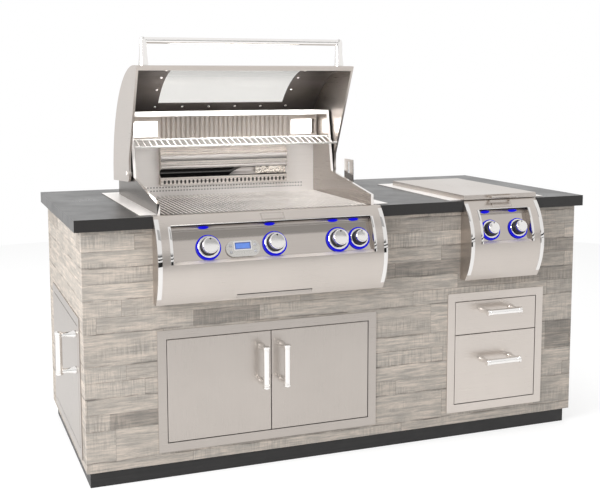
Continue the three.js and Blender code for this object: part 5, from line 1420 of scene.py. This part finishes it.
class ISLAND_OT_stage(bpy.types.Operator):
    """Sets the camera, the floor, the surroundings and the lamps"""

    bl_idname = "island.stage"
    bl_label = "Studio"

    def execute(self, context):
        scene = context.scene
        studio = scene.island_studio
        scene.view_settings.view_transform = "Standard"
        self.camera(scene, studio)
        self.surroundings(scene, studio)
        self.floor(studio)
        self.cards(studio)
        self.lamps(scene)
        return {"FINISHED"}

    def camera(self, scene, studio):
        """The camera, by its place and its turn about the three axes."""
        data = bpy.data.cameras.new("camera")
        data.lens = studio.camera_lens
        data.sensor_width = 36
        data.shift_y = studio.camera_shift
        data.clip_end = 100
        camera = bpy.data.objects.new("camera", data)
        scene.collection.objects.link(camera)
        yaw, pitch, roll = studio.camera_yaw, studio.camera_pitch, studio.camera_roll
        ahead = Vector((math.sin(yaw) * math.cos(pitch), math.cos(yaw) * math.cos(pitch), -math.sin(pitch)))
        level = Vector((math.cos(yaw), -math.sin(yaw), 0))
        up = level.cross(ahead)
        right = level * math.cos(roll) + up * math.sin(roll)
        up = up * math.cos(roll) - level * math.sin(roll)
        turn = Matrix((right, up, -ahead)).transposed().to_4x4()
        camera.matrix_world = Matrix.Translation(studio.camera_place) @ turn
        scene.camera = camera

    def surroundings(self, scene, studio):
        """White to the eye and in metal and glass; a low light on dull surfaces."""
        world = bpy.data.worlds.new("surroundings")
        scene.world = world
        world.use_nodes = True
        tree = world.node_tree
        tree.nodes.clear()
        add = tree.nodes.new
        link = tree.links.new
        path = add("ShaderNodeLightPath")
        mirrored = add("ShaderNodeMath")
        mirrored.operation = "MAXIMUM"
        link(path.outputs["Is Glossy Ray"], mirrored.inputs[0])
        link(path.outputs["Is Transmission Ray"], mirrored.inputs[1])
        seen = add("ShaderNodeMath")
        seen.operation = "MAXIMUM"
        link(path.outputs["Is Camera Ray"], seen.inputs[0])
        link(mirrored.outputs[0], seen.inputs[1])
        level = add("ShaderNodeMapRange")
        level.inputs["To Min"].default_value = studio.ambient
        level.inputs["To Max"].default_value = 1.0
        link(seen.outputs[0], level.inputs["Value"])
        shade = add("ShaderNodeBackground")
        shade.inputs["Color"].default_value = (1, 1, 1, 1)
        link(level.outputs["Result"], shade.inputs["Strength"])
        link(shade.outputs[0], add("ShaderNodeOutputWorld").inputs[0])

    def floor(self, studio):
        """A round pale floor that shows white away from the shadow."""
        sides = 96
        reach = studio.floor_reach
        turns = [FULL_TURN * i / sides for i in range(sides)]
        points = [(reach * math.cos(turn), reach * math.sin(turn), 0) for turn in turns]
        f = Finish("studio_floor")
        path = f.add("ShaderNodeLightPath").outputs
        seen = f.math("MAXIMUM", f.math("MAXIMUM", path["Is Camera Ray"], path["Is Glossy Ray"]),
                      path["Is Transmission Ray"])
        f.set(
            Base_Color=f.blend(seen, toned((1, 1, 1), studio.floor_tone), toned((1, 1, 1), 0.42)),
            Roughness=1.0,
            Specular_IOR_Level=0.0,
            Emission_Color=(1, 1, 1),
            Emission_Strength=f.math("MULTIPLY", seen, 0.66),
        )
        self.staged("studio_floor", points, [[*range(sides)]], f)

    def staged(self, name, points, faces, finish_made):
        """A piece of the studio."""
        mesh = bpy.data.meshes.new(name)
        mesh.from_pydata(points, [], faces)
        mesh.materials.append(finish_made.material)
        made = bpy.data.objects.new(name, mesh)
        bpy.context.scene.collection.objects.link(made)
        return made

    def mirrored(self, name, points, faces, strength_of):
        """A card in front of the island that only shows in metal; its brightness comes from its place."""
        f = Finish(name)
        f.set(
            Base_Color=(0, 0, 0),
            Roughness=1.0,
            Specular_IOR_Level=0.0,
            Emission_Color=(1, 1, 1),
            Emission_Strength=strength_of(f),
        )
        made = self.staged(name, points, faces, f)
        made.visible_camera = False
        made.visible_diffuse = False
        made.visible_transmission = False
        made.visible_shadow = False

    def cards(self, studio):
        """A dark curtain with lighter bands, lighter to its left and its top, and a grey card over it."""
        reach = studio.floor_reach
        steps = 16
        points = []
        faces = []
        for first, last, low, high in CURTAINS:
            start = len(points)
            for i in range(steps + 1):
                turn = math.radians(first + (last - first) * i / steps)
                points += [(reach * math.sin(turn), -reach * math.cos(turn), z) for z in (low, high)]
            faces += [[start + 2 * i + k for k in (0, 1, 3, 2)] for i in range(steps)]
        left, right = CARD_X
        low, high = CARD_Z
        corners = [(left, CARD_Y, low), (right, CARD_Y, low), (right, CARD_Y, high), (left, CARD_Y, high)]

        def curtain_strength(f):
            across, _, height = f.xyz()[:3]
            bands = [f.math("COMPARE", height, gap, GAP_HALF) for gap in CURTAIN_GAPS]
            lighter = f.math("MAXIMUM", f.math("MAXIMUM", *bands), f.remap(across, -0.6, -2.3, 0, 0.55))
            return f.math("MAXIMUM", f.remap(height, 1.3, 1.95, 0.03, 1.0, smooth=True), lighter)

        def card_strength(f):
            return f.remap(f.xyz()[2], 3.7, 6.5, 0.5, 0.56)

        self.mirrored("studio_curtain", points, faces, curtain_strength)
        self.mirrored("studio_card", corners, [[0, 1, 2, 3]], card_strength)

    def lamps(self, scene):
        """Soft lamps; only the key lamp shows in metal."""
        for name, place, aim, size, watts, shows in LAMPS:
            data = bpy.data.lights.new(name, "AREA")
            data.shape = "RECTANGLE"
            data.size, data.size_y = size
            data.energy = watts
            lamp = bpy.data.objects.new(name, data)
            scene.collection.objects.link(lamp)
            lamp.location = place
            lamp.rotation_mode = "QUATERNION"
            lamp.rotation_quaternion = (Vector(aim) - Vector(place)).to_track_quat("-Z", "Y")
            lamp.visible_glossy = shows


class ISLAND_PT_panel(bpy.types.Panel):
    """Lists the island's settings and the operators that make it"""

    bl_label = "Outdoor kitchen island"
    bl_idname = "ISLAND_PT_panel"
    bl_space_type = "VIEW_3D"
    bl_region_type = "UI"
    bl_category = "Island"

    def draw(self, context):
        for name in GROUPS:
            group = getattr(context.scene, name)
            for key in group.__annotations__:
                self.layout.prop(group, key)
        for operator in OPERATORS:
            self.layout.operator(operator.bl_idname)


GROUPS = {
    "island_colours": IslandColours,
    "island_sizes": IslandSizes,
    "island_studio": IslandStudio,
}
OPERATORS = (
    ISLAND_OT_cabinet,
    ISLAND_OT_openings,
    ISLAND_OT_grill_body,
    ISLAND_OT_fronts,
    ISLAND_OT_hood,
    ISLAND_OT_cooker,
    ISLAND_OT_stage,
)


def register():
    for kind in (*GROUPS.values(), *OPERATORS, ISLAND_PT_panel):
        bpy.utils.register_class(kind)
    for key, kind in GROUPS.items():
        setattr(bpy.types.Scene, key, bpy.props.PointerProperty(type=kind))


def unregister():
    for key in GROUPS:
        delattr(bpy.types.Scene, key)
    for kind in reversed((*GROUPS.values(), *OPERATORS, ISLAND_PT_panel)):
        bpy.utils.unregister_class(kind)


def main():
    register()
    bpy.ops.island.cabinet()
    bpy.ops.island.openings()
    bpy.ops.island.grill_body()
    bpy.ops.island.fronts()
    bpy.ops.island.hood()
    bpy.ops.island.cooker()
    bpy.ops.island.stage()


if __name__ == "__main__":
    main()
